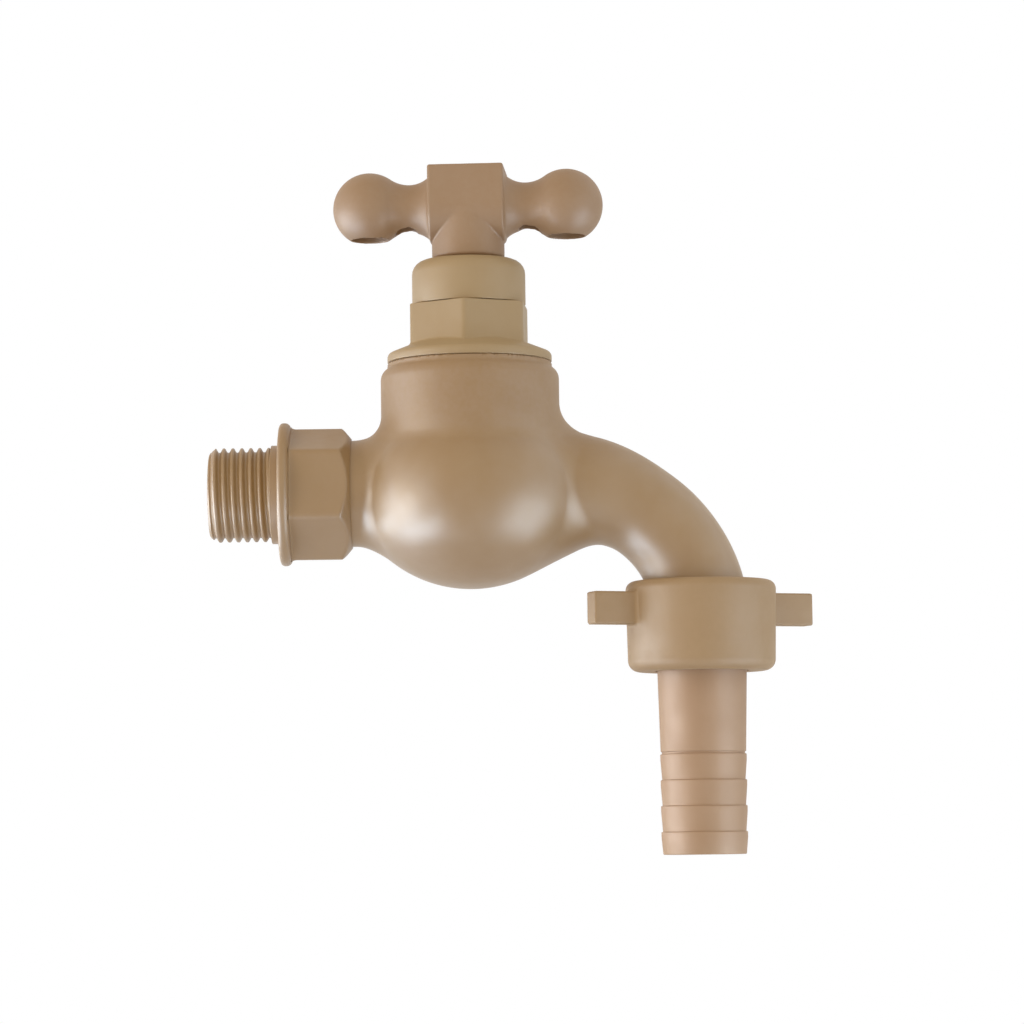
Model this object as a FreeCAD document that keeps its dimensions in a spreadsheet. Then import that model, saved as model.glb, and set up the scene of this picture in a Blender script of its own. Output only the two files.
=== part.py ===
import FreeCAD, Part
import math
import os

import Sketcher

Vector = FreeCAD.Vector
Placement = FreeCAD.Placement
Rotation = FreeCAD.Rotation

# Hose bibb: a moulded screw-down tap with a union nut and a barbed hose tail.
# The origin is on the inlet axis, in the plane of the disc that meets the wall.
# +X runs from the wall to the spout and +Z runs up the spindle.

DRIVING_SIZES = [
    # Fits and play
    ("fit", 0.05, "radial clearance of a running fit or a plain thread"),
    ("end_play", 0.05, "gap between flat faces that turn on each other"),
    # Inlet
    ("spindle_x", 42.4, "wall face to spindle axis"),
    ("inlet_thread_dia", 20.955, "half-inch parallel pipe thread, over the crests"),
    ("inlet_thread_length", 16.0, "thread that stands out of the wall disc"),
    ("inlet_lead", 1.2, "chamfer at the free end of the thread"),
    ("inlet_bore_dia", 13.0, "waterway through the inlet"),
    ("disc_dia", 31.8, "disc that covers the hole in the wall"),
    ("disc_thick", 2.5, "thickness of the wall disc"),
    ("disc_round", 0.9, "rounding of the disc's rim"),
    ("hex_flats", 25.6, "inlet hexagon across its flats"),
    ("hex_length", 11.5, "length of the inlet hexagon"),
    ("hex_chamfer", 2.0, "how far the hexagon's corners are cut back"),
    ("hex_turn", 5.4, "degrees that the top corner leans to the back"),
    ("neck_dia", 23.6, "neck between hexagon and globe"),
    ("neck_fillet", 5.2, "fillet where the neck runs into the globe"),
    # Globe and barrel
    ("globe_dia", 50.0, "globe across its widest circle"),
    ("globe_depth", 20.3, "widest circle to the bottom of the globe"),
    ("globe_drop", 1.2, "widest circle below the inlet axis"),
    ("globe_side", 15.0, "radius of the globe's side in section"),
    ("globe_shoulder", 5.0, "fillet between globe and barrel"),
    ("barrel_step", 1.55, "barrel's wall outside the bonnet's collar"),
    ("barrel_top", 28.95, "inlet axis to the barrel's top face"),
    ("barrel_edge", 2.9, "rounding of the barrel's shoulder"),
    ("barrel_lip", 1.3, "upright lip between the shoulder and the bonnet's collar"),
    # Spout
    ("spout_reach", 50.6, "spindle axis to outlet axis"),
    ("spout_rise", 0.5, "spout root above the inlet axis"),
    ("spout_root_dia", 24.6, "spout where it leaves the globe"),
    ("spout_waist_dia", 20.7, "spout in the middle of its bend"),
    ("spout_end_dia", 21.4, "spout where it enters the union nut"),
    ("spout_bend", 29.5, "bend radius of the spout's centre line"),
    ("spout_fillet", 7.0, "fillet where the spout leaves the globe"),
    ("spout_bore_dia", 15.0, "waterway through the spout"),
    ("outlet_drop", 32.2, "spout's end below the inlet axis"),
    ("outlet_thread_dia", 26.44, "three-quarter-inch pipe thread, over the crests"),
    ("outlet_thread_length", 10.2, "thread on the spout's end"),
    # Waterway and seat
    ("chamber_dia", 28.4, "valve chamber inside the barrel"),
    ("chamber_floor", 8.6, "inlet axis to the chamber's floor"),
    ("floor_thick", 2.8, "floor between the inflow well and the chamber"),
    ("seat_bore_dia", 13.0, "hole through the valve seat"),
    ("seat_lip_dia", 17.4, "outside of the seat's raised lip"),
    ("seat_height", 1.4, "seat lip above the chamber's floor"),
    ("well_dia", 18.4, "inflow well under the seat"),
    ("well_depth", 15.0, "well's bottom below the inlet axis"),
    ("partition", 2.4, "wall between the well and the outflow port"),
    ("port_width", 5.6, "radial width of the curved outflow port"),
    ("port_angle", 100.0, "degrees round the spindle that the port covers"),
    # Bonnet and gland
    ("bonnet_thread_dia", 30.0, "bonnet's screwed spigot"),
    ("bonnet_thread_length", 9.5, "depth of the spigot in the barrel"),
    ("bonnet_skirt_dia", 22.0, "recess in the spigot that clears the valve plate"),
    ("bonnet_skirt_depth", 4.0, "depth of that recess"),
    ("seal_dia", 34.0, "rubber ring under the bonnet's collar"),
    ("seal_thick", 1.2, "thickness of that ring"),
    ("collar_dia", 36.6, "bonnet's round collar"),
    ("collar_height", 4.25, "height of the collar at the hexagon"),
    ("collar_fall", 2.3, "how far the collar's top falls from the hexagon to the rim"),
    ("collar_round", 1.2, "rounding of the collar's rim"),
    ("bonnet_hex_flats", 25.2, "bonnet's hexagon across its flats"),
    ("bonnet_hex_height", 8.3, "height of the bonnet's hexagon"),
    ("bonnet_hex_turn", -4.2, "degrees that the front corner is turned"),
    ("gland_thread_dia", 19.0, "screwed neck that takes the gland cap"),
    ("gland_thread_length", 7.5, "height of that neck"),
    ("packing_dia", 15.0, "outside of the gland packing"),
    ("packing_thick", 4.0, "height of the gland packing"),
    ("packing_depth", 6.0, "depth of the packing's recess"),
    ("follower_thick", 2.5, "height of the ring that presses the packing"),
    ("cap_dia", 25.3, "gland cap"),
    ("cap_height", 10.1, "height of the gland cap"),
    ("cap_round", 3.2, "rounding of the cap's top edge"),
    ("cap_seam", 0.3, "gap between the cap and the hexagon"),
    ("cap_hole_dia", 11.0, "hole in the cap for the spindle"),
    # Valve and spindle
    ("washer_dia", 18.0, "rubber valve washer"),
    ("washer_thick", 3.5, "thickness of the valve washer"),
    ("plate_dia", 19.0, "jumper's plate"),
    ("plate_thick", 2.0, "thickness of that plate"),
    ("stud_dia", 4.0, "jumper's stud below the plate"),
    ("stud_spare", 0.8, "stud that shows below its nut"),
    ("nut_flats", 7.0, "washer nut across its flats"),
    ("nut_thick", 3.0, "thickness of the washer nut"),
    ("jumper_stem_dia", 6.8, "jumper's stem inside the spindle"),
    ("jumper_stem_length", 8.5, "length of that stem"),
    ("clip_height", 3.5, "clip groove above the jumper's plate"),
    ("clip_thick", 1.0, "thickness of the split clip"),
    ("clip_inner_dia", 5.6, "inside of the split clip"),
    ("clip_outer_dia", 8.2, "outside of the split clip"),
    ("clip_gap", 1.2, "opening in the split clip"),
    ("lift", 6.0, "rise of the valve from closed to open"),
    ("stop_gap", 0.3, "clearance left at the open stop"),
    ("spindle_thread_dia", 14.0, "spindle's screwed part"),
    ("spindle_thread_length", 15.0, "length of that screwed part"),
    ("stem_dia", 10.0, "spindle's plain stem"),
    ("stem_entry", 1.0, "plain stem inside the handle"),
    ("drive_flats", 7.0, "square drive across its flats"),
    ("drive_length", 12.0, "length of the square drive"),
    # Handle
    ("handle_gap", 0.3, "gap between the handle and the gland cap when closed"),
    ("handle_turn", -3.5, "degrees that the closed handle is turned"),
    ("arm_rise", 11.7, "handle's lower end to the axis of its arms"),
    ("hub_width", 16.6, "hub block along the arms"),
    ("hub_depth", 16.0, "hub block from front to back"),
    ("hub_top", 8.7, "axis of the arms to the hub's flat top"),
    ("hub_edge", 0.5, "rounding of the hub's edges"),
    ("hub_neck_dia", 15.6, "round neck under the hub"),
    ("arm_reach", 22.0, "spindle axis to the centre of each ball"),
    ("arm_waist_at", 13.0, "spindle axis to the thinnest part of the arm"),
    ("arm_waist_dia", 10.7, "thinnest part of the arm"),
    ("arm_flare", 6.5, "radius of the flare from waist to hub"),
    ("ball_dia", 16.4, "ball at the end of each arm"),
    ("ball_flat", 0.7, "how much is cut off under each ball"),
    ("core_dia", 7.8, "moulding recess under each ball"),
    ("core_depth", 9.0, "depth of that recess"),
    ("screw_well_dia", 10.0, "recess in the hub's top for the screw"),
    ("screw_well_depth", 4.5, "depth of that recess"),
    ("screw_dia", 4.0, "handle screw's shank"),
    ("screw_length", 12.0, "handle screw under its head"),
    ("screw_head_dia", 7.6, "handle screw's head"),
    ("screw_head_height", 2.4, "height of the head"),
    ("screw_head_round", 1.2, "rounding of the head"),
    ("screw_washer_dia", 9.0, "plain washer under the head"),
    ("screw_washer_thick", 0.6, "thickness of that washer"),
    # Union and hose tail
    ("tail_washer_thick", 2.2, "rubber washer between spout and tail"),
    ("flange_play", 0.42, "gap between the tail's flange and the nut's thread"),
    ("tail_flange_thick", 2.6, "thickness of that flange"),
    ("tail_neck_dia", 19.8, "tail where it leaves the nut"),
    ("tail_foot_dia", 18.9, "plain part of the tail above the barbs"),
    ("tail_plain_length", 18.3, "nut's lower face to the first barb"),
    ("tail_groove_dia", 18.5, "shallow groove above the first barb"),
    ("tail_groove_width", 1.2, "width of that groove"),
    ("barb_dia", 19.1, "hose barb over its edge"),
    ("barb_root_dia", 18.4, "hose barb at its thin end"),
    ("barb_land", 1.2, "straight land behind each barb's edge"),
    ("barb_pitch", 5.7, "spacing of the barbs"),
    ("barb_last", 5.0, "length of the lowest barb"),
    ("tail_bore_dia", 14.0, "waterway through the tail"),
    ("nut_top_dia", 33.4, "union nut near its top"),
    ("nut_foot_dia", 32.6, "union nut near its bottom"),
    ("nut_height", 20.0, "height of the union nut"),
    ("nut_floor", 3.35, "inward rim that holds the tail's flange"),
    ("nut_top_round", 1.6, "rounding of the nut's top edge"),
    ("nut_foot_round", 2.4, "rounding of the nut's bottom edge"),
    ("nut_hole_play", 0.3, "gap between the nut's rim and the tail"),
    ("wing_span", 53.1, "nut from wing tip to wing tip"),
    ("wing_height", 7.2, "height of a wing"),
    ("wing_thick", 4.5, "thickness of a wing"),
    ("wing_drop", 2.6, "nut's top to the wing's top"),
    ("wing_turn", 22.0, "degrees that the wings are turned at rest"),
]
BARB_COUNT = 4
HEXAGON = 6


class Size:
    """A length or an angle with its number and the formula that gives it."""

    def __init__(self, number, formula):
        self.number = float(number)
        self.formula = formula

    def __add__(self, other):
        other = as_size(other)
        return Size(self.number + other.number, "(%s + %s)" % (self.formula, other.formula))

    def __sub__(self, other):
        other = as_size(other)
        return Size(self.number - other.number, "(%s - %s)" % (self.formula, other.formula))

    def __mul__(self, other):
        other = as_size(other)
        return Size(self.number * other.number, "(%s * %s)" % (self.formula, other.formula))

    def __truediv__(self, other):
        other = as_size(other)
        return Size(self.number / other.number, "(%s / %s)" % (self.formula, other.formula))

    def __neg__(self):
        return Size(-self.number, "(0 - %s)" % self.formula)

    __radd__ = __add__


def as_size(value):
    """A Size stays as it is, and a plain number becomes one."""
    if isinstance(value, Size):
        return value
    return Size(value, "(%r)" % float(value))


def square_root(value):
    return Size(math.sqrt(value.number), "sqrt(%s)" % value.formula)


def sine(degrees):
    degrees = as_size(degrees)
    return Size(math.sin(math.radians(degrees.number)), "sin(%s)" % degrees.formula)


def cosine(degrees):
    degrees = as_size(degrees)
    return Size(math.cos(math.radians(degrees.number)), "cos(%s)" % degrees.formula)


class Sizes:
    """The driving sizes by name, each tied to its own cell of the sheet."""

    def __init__(self, document, rows):
        sheet = document.addObject("Spreadsheet::Sheet", "sizes")
        for row, (name, number, meaning) in enumerate(rows, start=1):
            sheet.set("A%d" % row, name)
            sheet.set("B%d" % row, repr(float(number)))
            sheet.set("C%d" % row, meaning)
            sheet.setAlias("B%d" % row, name)
            setattr(self, name, Size(number, "sizes.%s" % name))
        document.recompute()


doc = FreeCAD.newDocument("hose_bibb")
S = Sizes(doc, DRIVING_SIZES)
ORIGIN = -1
NO_SIZE = as_size(0)


def bind(item, path, size):
    """Ties one property of an object to a formula of the sheet."""
    item.setExpression(path, as_size(size).formula)


def set_size(item, name, size):
    """Sets a length property and ties it to the sheet."""
    setattr(item, name, as_size(size).number)
    bind(item, name, size)


def new_piece(name, x=NO_SIZE, z=NO_SIZE, turn=NO_SIZE):
    """An empty body whose own frame stands at x, z of the part's frame, turned about Z."""
    piece = doc.addObject("PartDesign::Body", name)
    piece.Label = name
    spot = Vector(as_size(x).number, 0, as_size(z).number)
    piece.Placement = Placement(spot, Rotation(Vector(0, 0, 1), as_size(turn).number))
    bind(piece, "Placement.Base.x", x)
    bind(piece, "Placement.Base.z", z)
    bind(piece, "Placement.Rotation.Angle", turn)
    return piece


def new_sketch(piece, name, role, offset=NO_SIZE):
    """A sketch on an origin plane of its own body, moved along the plane's normal."""
    sketch = piece.newObject("Sketcher::SketchObject", name)
    plane = next(item for item in piece.Origin.OriginFeatures if item.Role == role)
    sketch.AttachmentSupport = [(plane, "")]
    sketch.MapMode = "FlatFace"
    offset = as_size(offset)
    sketch.AttachmentOffset = Placement(Vector(0, 0, offset.number), Rotation())
    bind(sketch, "AttachmentOffset.Base.z", offset)
    return sketch


def pin_point(sketch, shape, point, u, v):
    """Holds one point of the sketch at u, v from the sketch's origin."""
    for kind, size in (("DistanceX", u), ("DistanceY", v)):
        size = as_size(size)
        index = sketch.addConstraint(
            Sketcher.Constraint(kind, ORIGIN, 1, shape, point, size.number))
        bind(sketch, "Constraints[%d]" % index, size)


def pin_radius(sketch, shape, radius):
    """Holds the radius of a circle or an arc."""
    index = sketch.addConstraint(Sketcher.Constraint("Radius", shape, radius.number))
    bind(sketch, "Constraints[%d]" % index, radius)


def corner(u, v):
    """A sharp corner, reached by a straight edge."""
    return {"at": (as_size(u), as_size(v)), "round": None, "arc": None}


def rounded(u, v, radius):
    """A corner between two straight edges, rounded off."""
    return {"at": (as_size(u), as_size(v)), "round": as_size(radius), "arc": None}


def arc_to(u, v, radius, turn):
    """A corner reached by an arc of under half a circle; turn is 1 to the left, -1 to the right."""
    return {"at": (as_size(u), as_size(v)), "round": None, "arc": (as_size(radius), turn)}


def arc_shape(start, end, radius, turn):
    """The arc from start to end whose centre lies to the left (turn 1) or right (-1)."""
    chord = end - start
    side = Vector(-chord.y, chord.x, 0) * turn
    side.normalize()
    rise = math.sqrt(max(radius ** 2 - (chord.Length / 2) ** 2, 0.0))
    centre = (start + end) * 0.5 + side * rise
    circle = Part.Circle(centre, Vector(0, 0, 1), radius)
    first, last = (start, end) if turn > 0 else (end, start)
    first_angle = math.atan2(first.y - centre.y, first.x - centre.x)
    last_angle = math.atan2(last.y - centre.y, last.x - centre.x)
    if last_angle <= first_angle:
        last_angle += 2 * math.pi
    return Part.ArcOfCircle(circle, first_angle, last_angle)


def draw_outline(sketch, steps):
    """Closes the steps into one outline, with every corner and radius tied to the sheet."""
    count = len(steps)
    spots = [Vector(step["at"][0].number, step["at"][1].number, 0) for step in steps]

    def cut_back(index, neighbour):
        """Where the straight edge towards a neighbour leaves a corner's rounding."""
        if steps[index]["round"] is None:
            return spots[index]
        to_last = (spots[index - 1] - spots[index]).normalize()
        to_next = (spots[(index + 1) % count] - spots[index]).normalize()
        half_angle = to_last.getAngle(to_next) / 2
        reach = steps[index]["round"].number / math.tan(half_angle)
        return spots[index] + (spots[neighbour] - spots[index]).normalize() * reach

    edges = []
    for index, step in enumerate(steps):
        start = cut_back(index - 1, index)
        end = cut_back(index, index - 1)
        if step["arc"] is None:
            shape = sketch.addGeometry(Part.LineSegment(start, end), False)
            edges.append((shape, 1, 2))
            continue
        radius, turn = step["arc"]
        shape = sketch.addGeometry(arc_shape(start, end, radius.number, turn), False)
        edges.append((shape, 1, 2) if turn > 0 else (shape, 2, 1))
        pin_radius(sketch, shape, radius)
    for index, step in enumerate(steps):
        before, _, before_end = edges[index]
        after, after_start, _ = edges[(index + 1) % count]
        if step["round"] is None:
            sketch.addConstraint(
                Sketcher.Constraint("Coincident", before, before_end, after, after_start))
            pin_point(sketch, before, before_end, *step["at"])
            continue
        mark = sketch.addGeometry(Part.Point(spots[index]), True)
        pin_point(sketch, mark, 1, *step["at"])
        sketch.addConstraint(Sketcher.Constraint("PointOnObject", mark, 1, before))
        sketch.addConstraint(Sketcher.Constraint("PointOnObject", mark, 1, after))
        start = cut_back(index, index - 1)
        end = cut_back(index, (index + 1) % count)
        leaving = (spots[index] - spots[index - 1]).cross(spots[(index + 1) % count] - spots[index])
        turn = 1 if leaving.z > 0 else -1
        arc = sketch.addGeometry(arc_shape(start, end, step["round"].number, turn), False)
        arc_start, arc_end = (1, 2) if turn > 0 else (2, 1)
        sketch.addConstraint(Sketcher.Constraint("Tangent", before, before_end, arc, arc_start))
        sketch.addConstraint(Sketcher.Constraint("Tangent", arc, arc_end, after, after_start))
        pin_radius(sketch, arc, step["round"])
    return sketch


def draw_circle(sketch, diameter, u=NO_SIZE, v=NO_SIZE):
    """A circle of the given diameter round u, v."""
    radius = as_size(diameter) / 2
    centre = Vector(as_size(u).number, as_size(v).number, 0)
    shape = sketch.addGeometry(Part.Circle(centre, Vector(0, 0, 1), radius.number), False)
    pin_point(sketch, shape, 3, u, v)
    pin_radius(sketch, shape, radius)
    return sketch


def polygon_steps(flats, sides, turn):
    """Corners of a regular polygon of even sides, the first at the angle turn."""
    reach = flats / 2 / cosine(180 / sides)
    angles = [as_size(turn) + 360 * index / sides for index in range(sides)]
    return [corner(reach * cosine(angle), reach * sine(angle)) for angle in angles]


def box_steps(u_low, v_low, u_high, v_high):
    """The four corners of an upright rectangle."""
    return [corner(u_low, v_low), corner(u_high, v_low),
            corner(u_high, v_high), corner(u_low, v_high)]


def solid_volume(piece):
    return piece.Tip.Shape.Volume if piece.Tip else 0.0


def add_feature(piece, kind, name, before):
    """Recomputes a new feature and makes sure that it changed the solid the right way."""
    doc.recompute()
    after = solid_volume(piece)
    removes = kind in ("Groove", "Pocket", "SubtractivePipe")
    changed = before - after if removes else after - before
    if changed <= 0:
        raise RuntimeError("%s in %s changed nothing" % (name, piece.Label))


def turned(piece, name, steps, kind="Revolution", axis="V_Axis", role="XZ_Plane", angle=None):
    """A turned feature: an outline swung round an axis of its sketch."""
    before = solid_volume(piece)
    sketch = draw_outline(new_sketch(piece, name + "_outline", role), steps)
    feature = piece.newObject("PartDesign::" + kind, name)
    feature.Profile = sketch
    feature.ReferenceAxis = (sketch, [axis])
    feature.Angle = 360.0
    if angle is not None:
        feature.Midplane = True
        set_size(feature, "Angle", angle)
    add_feature(piece, kind, name, before)
    return feature


def straight(piece, name, sketch, length, kind="Pad", reverse=False):
    """A straight feature: a pad or a pocket along the sketch's normal."""
    before = solid_volume(piece)
    feature = piece.newObject("PartDesign::" + kind, name)
    feature.Profile = sketch
    feature.Reversed = reverse
    set_size(feature, "Length", length)
    add_feature(piece, kind, name, before)
    return feature


def edge_names(feature, wanted):
    """Names of the edges whose points all pass the test."""
    names = []
    for index, edge in enumerate(feature.Shape.Edges, start=1):
        first, last = edge.ParameterRange
        steps = [first + (last - first) * share / 8 for share in range(9)]
        if all(wanted(edge.valueAt(step)) for step in steps):
            names.append("Edge%d" % index)
    if not names:
        raise RuntimeError("no edge found on " + feature.Label)
    return names


def fillet(piece, name, base, wanted, radius):
    """Rounds the edges that pass the test."""
    feature = piece.newObject("PartDesign::Fillet", name)
    feature.Base = (base, edge_names(base, wanted))
    set_size(feature, "Radius", radius)
    doc.recompute()


# Levels along the spindle, from the valve seat up
seat_top = S.chamber_floor + S.seat_height
washer_top = seat_top + S.end_play + S.washer_thick
plate_top = washer_top + S.plate_thick
spindle_foot = plate_top + S.end_play
shoulder = spindle_foot + S.spindle_thread_length
open_stop = shoulder + S.lift + S.stop_gap
bonnet_foot = S.barrel_top - S.bonnet_thread_length
collar_top = S.barrel_top + S.collar_height
hex_top = collar_top + S.bonnet_hex_height
gland_top = hex_top + S.gland_thread_length
packing_floor = gland_top - S.packing_depth
packing_top = packing_floor + S.packing_thick
follower_top = packing_top + S.follower_thick
cap_foot = hex_top + S.cap_seam
cap_top = cap_foot + S.cap_height
handle_foot = cap_top + S.handle_gap
arm_axis = handle_foot + S.arm_rise
stem_top = handle_foot + S.stem_entry
spindle_top = stem_top + S.drive_length
screw_seat = arm_axis + S.hub_top - S.screw_well_depth

# Levels along the outlet, from the spout's end down
outlet_x = S.spindle_x + S.spout_reach
spout_end = -S.outlet_drop
tail_top = spout_end - S.tail_washer_thick
tail_ledge = tail_top - S.tail_flange_thick
nut_ledge = tail_ledge - S.end_play
nut_foot = nut_ledge - S.nut_floor
nut_top = nut_foot + S.nut_height
tail_flange_dia = S.outlet_thread_dia - S.flange_play * 2


def make_body():
    """One moulding: inlet, wall disc, hexagon, neck, globe, barrel, spout and waterway."""
    piece = new_piece("body", x=S.spindle_x)
    make_globe(piece)
    make_neck(piece)
    make_spout(piece)
    make_inlet(piece)
    make_waterway(piece)
    return piece


def make_globe(piece):
    """Globe and barrel: tangent arcs, a straight side, a shoulder and a lip, turned."""
    equator = -S.globe_drop
    rim, side, fillet_radius = S.globe_dia / 2, S.globe_side, S.globe_shoulder
    lip = S.collar_dia / 2
    wall = lip + S.barrel_step
    lip_foot = S.barrel_top - S.barrel_lip
    inset = S.barrel_edge - S.barrel_step
    edge_foot = lip_foot - square_root(S.barrel_edge * S.barrel_edge - inset * inset)
    side_x = rim - side
    bottom_radius = ((side_x * side_x + S.globe_depth * S.globe_depth - side * side)
                     / ((S.globe_depth - side) * 2))
    bottom_z = equator - S.globe_depth + bottom_radius
    share = bottom_radius / (bottom_radius - side)
    join_x = side_x * share
    join_z = bottom_z + (equator - bottom_z) * share
    gap_x = wall + fillet_radius - side_x
    reach = side + fillet_radius
    fillet_z = equator + square_root(reach * reach - gap_x * gap_x)
    shoulder_x = side_x + gap_x * side / reach
    shoulder_z = equator + (fillet_z - equator) * side / reach
    turned(piece, "globe", [
        corner(NO_SIZE, equator - S.globe_depth),
        arc_to(join_x, join_z, bottom_radius, 1),
        arc_to(shoulder_x, shoulder_z, side, 1),
        arc_to(wall, fillet_z, fillet_radius, -1),
        corner(wall, edge_foot),
        arc_to(lip, lip_foot, S.barrel_edge, 1),
        corner(lip, S.barrel_top),
        corner(NO_SIZE, S.barrel_top),
    ])


def make_neck(piece):
    """Round neck that starts inside the hexagon and runs into the globe with a fillet."""
    sketch = draw_circle(new_sketch(piece, "neck_circle", "YZ_Plane"), S.neck_dia)
    neck = straight(piece, "neck", sketch, S.spindle_x - S.disc_thick, reverse=True)
    radius = S.neck_dia.number / 2
    reach = S.globe_dia.number / 2

    def on_neck(point):
        off_axis = math.hypot(point.y, point.z)
        return abs(off_axis - radius) < 0.01 and -1.05 * reach < point.x < -0.2 * reach

    fillet(piece, "neck_root", neck, on_neck, S.neck_fillet)


def spout_section(piece, index, share, diameter):
    """A circle across the spout's bend, at a share of its quarter turn."""
    angle = as_size(90.0) * share
    bend_start = S.spout_reach - S.spout_bend
    x = bend_start + S.spout_bend * sine(angle)
    z = S.spout_rise - S.spout_bend + S.spout_bend * cosine(angle)
    sketch = draw_circle(new_sketch(piece, "spout_section_%d" % index, "YZ_Plane"), diameter)
    turn = Rotation(Vector(1, 0, 0), angle.number)
    sketch.AttachmentOffset = Placement(Vector(0, z.number, x.number), turn)
    bind(sketch, "AttachmentOffset.Base.y", z)
    bind(sketch, "AttachmentOffset.Base.z", x)
    return sketch


def make_spout(piece):
    """Spout: circles lofted from inside the globe round a quarter turn, with a thread below."""
    slim = (S.spout_root_dia + S.spout_waist_dia) / 2
    stations = [(0.0, S.spout_root_dia), (1 / 6, slim), (2 / 6, S.spout_waist_dia),
                (0.5, S.spout_waist_dia), (4 / 6, S.spout_waist_dia), (1.0, S.spout_end_dia)]
    before = solid_volume(piece)
    root = draw_circle(new_sketch(piece, "spout_root", "YZ_Plane"), S.spout_root_dia,
                       v=S.spout_rise)
    sections = [spout_section(piece, index, share, diameter)
                for index, (share, diameter) in enumerate(stations, start=1)]
    spout = piece.newObject("PartDesign::AdditiveLoft", "spout")
    spout.Profile = root
    spout.Sections = sections
    add_feature(piece, "AdditiveLoft", "spout", before)
    radius = S.spout_root_dia.number / 2
    reach = S.globe_dia.number / 2

    def on_root(point):
        off_axis = math.hypot(point.y, point.z - S.spout_rise.number)
        return abs(off_axis - radius) < 0.12 * radius and 0.2 * reach < point.x < 1.05 * reach

    fillet(piece, "spout_junction", spout, on_root, S.spout_fillet)
    thread = draw_circle(
        new_sketch(piece, "outlet_circle", "XY_Plane", offset=spout_end),
        S.outlet_thread_dia, u=S.spout_reach)
    straight(piece, "outlet_thread", thread, S.outlet_thread_length)


def make_inlet(piece):
    """Wall disc with a rounded rim, threaded pipe end and hexagon with cut-back corners."""
    wall = -S.spindle_x
    hex_start = wall + S.disc_thick
    hex_end = hex_start + S.hex_length
    pipe = S.inlet_thread_dia / 2
    rim = S.disc_dia / 2
    turned(piece, "inlet_pipe", [
        corner(wall - S.inlet_thread_length, NO_SIZE),
        corner(wall - S.inlet_thread_length, pipe - S.inlet_lead),
        corner(wall - S.inlet_thread_length + S.inlet_lead, pipe),
        corner(wall, pipe),
        rounded(wall, rim, S.disc_round),
        rounded(hex_start, rim, S.disc_round),
        corner(hex_start, NO_SIZE),
    ], axis="H_Axis")
    hexagon = draw_outline(
        new_sketch(piece, "hexagon_outline", "YZ_Plane", offset=hex_start),
        polygon_steps(S.hex_flats, HEXAGON, -S.hex_turn + 90))
    straight(piece, "hexagon", hexagon, S.hex_length)
    tip = S.hex_flats / 2 / cosine(180 / HEXAGON) + S.end_play
    turned(piece, "hexagon_chamfer", [
        corner(hex_end, tip - S.hex_chamfer),
        corner(hex_end, tip),
        corner(hex_end - S.hex_chamfer, tip),
    ], kind="Groove", axis="H_Axis")


def make_waterway(piece):
    """Inlet bore, inflow well, raised seat, valve chamber, curved port and spout bore."""
    thread = S.bonnet_thread_dia / 2 + S.fit
    chamber = S.chamber_dia / 2
    lip = S.seat_lip_dia / 2
    seal = S.seal_dia / 2 + S.fit
    thread_foot = bonnet_foot - S.end_play
    seal_floor = S.barrel_top - S.seal_thick
    turned(piece, "valve_chamber", [
        corner(NO_SIZE, seat_top),
        corner(lip, seat_top),
        corner(lip, S.chamber_floor),
        corner(chamber, S.chamber_floor),
        corner(chamber, thread_foot),
        corner(thread, thread_foot),
        corner(thread, seal_floor),
        corner(seal, seal_floor),
        corner(seal, S.barrel_top),
        corner(NO_SIZE, S.barrel_top),
    ], kind="Groove")
    well_roof = S.chamber_floor - S.floor_thick
    well = S.well_dia / 2
    turned(piece, "inflow_well", [
        corner(NO_SIZE, -S.well_depth),
        rounded(well, -S.well_depth, well / 2),
        corner(well, well_roof),
        corner(NO_SIZE, well_roof),
    ], kind="Groove")
    seat_hole = draw_circle(
        new_sketch(piece, "seat_circle", "XY_Plane", offset=seat_top), S.seat_bore_dia)
    straight(piece, "seat_bore", seat_hole, seat_top, kind="Pocket")
    bore = draw_circle(
        new_sketch(piece, "inlet_circle", "YZ_Plane", offset=-S.spindle_x - S.inlet_thread_length),
        S.inlet_bore_dia)
    straight(piece, "inlet_bore", bore, S.inlet_thread_length + S.spindle_x,
             kind="Pocket", reverse=True)
    port_in = well + S.partition
    port_foot = S.spout_rise - S.spout_bore_dia / 2 + S.partition
    turned(piece, "outflow_port", box_steps(
        port_in, port_foot, port_in + S.port_width, S.chamber_floor + S.partition,
    ), kind="Groove", angle=S.port_angle)
    before = solid_volume(piece)
    path = new_sketch(piece, "bore_path", "XZ_Plane")
    draw_bore_path(path, port_in)
    mouth = draw_circle(
        new_sketch(piece, "bore_circle", "YZ_Plane", offset=port_in), S.spout_bore_dia,
        v=S.spout_rise)
    spout_bore = piece.newObject("PartDesign::SubtractivePipe", "spout_bore")
    spout_bore.Profile = mouth
    spout_bore.Spine = (path, ["Edge1", "Edge2", "Edge3"])
    add_feature(piece, "SubtractivePipe", "spout_bore", before)


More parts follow.
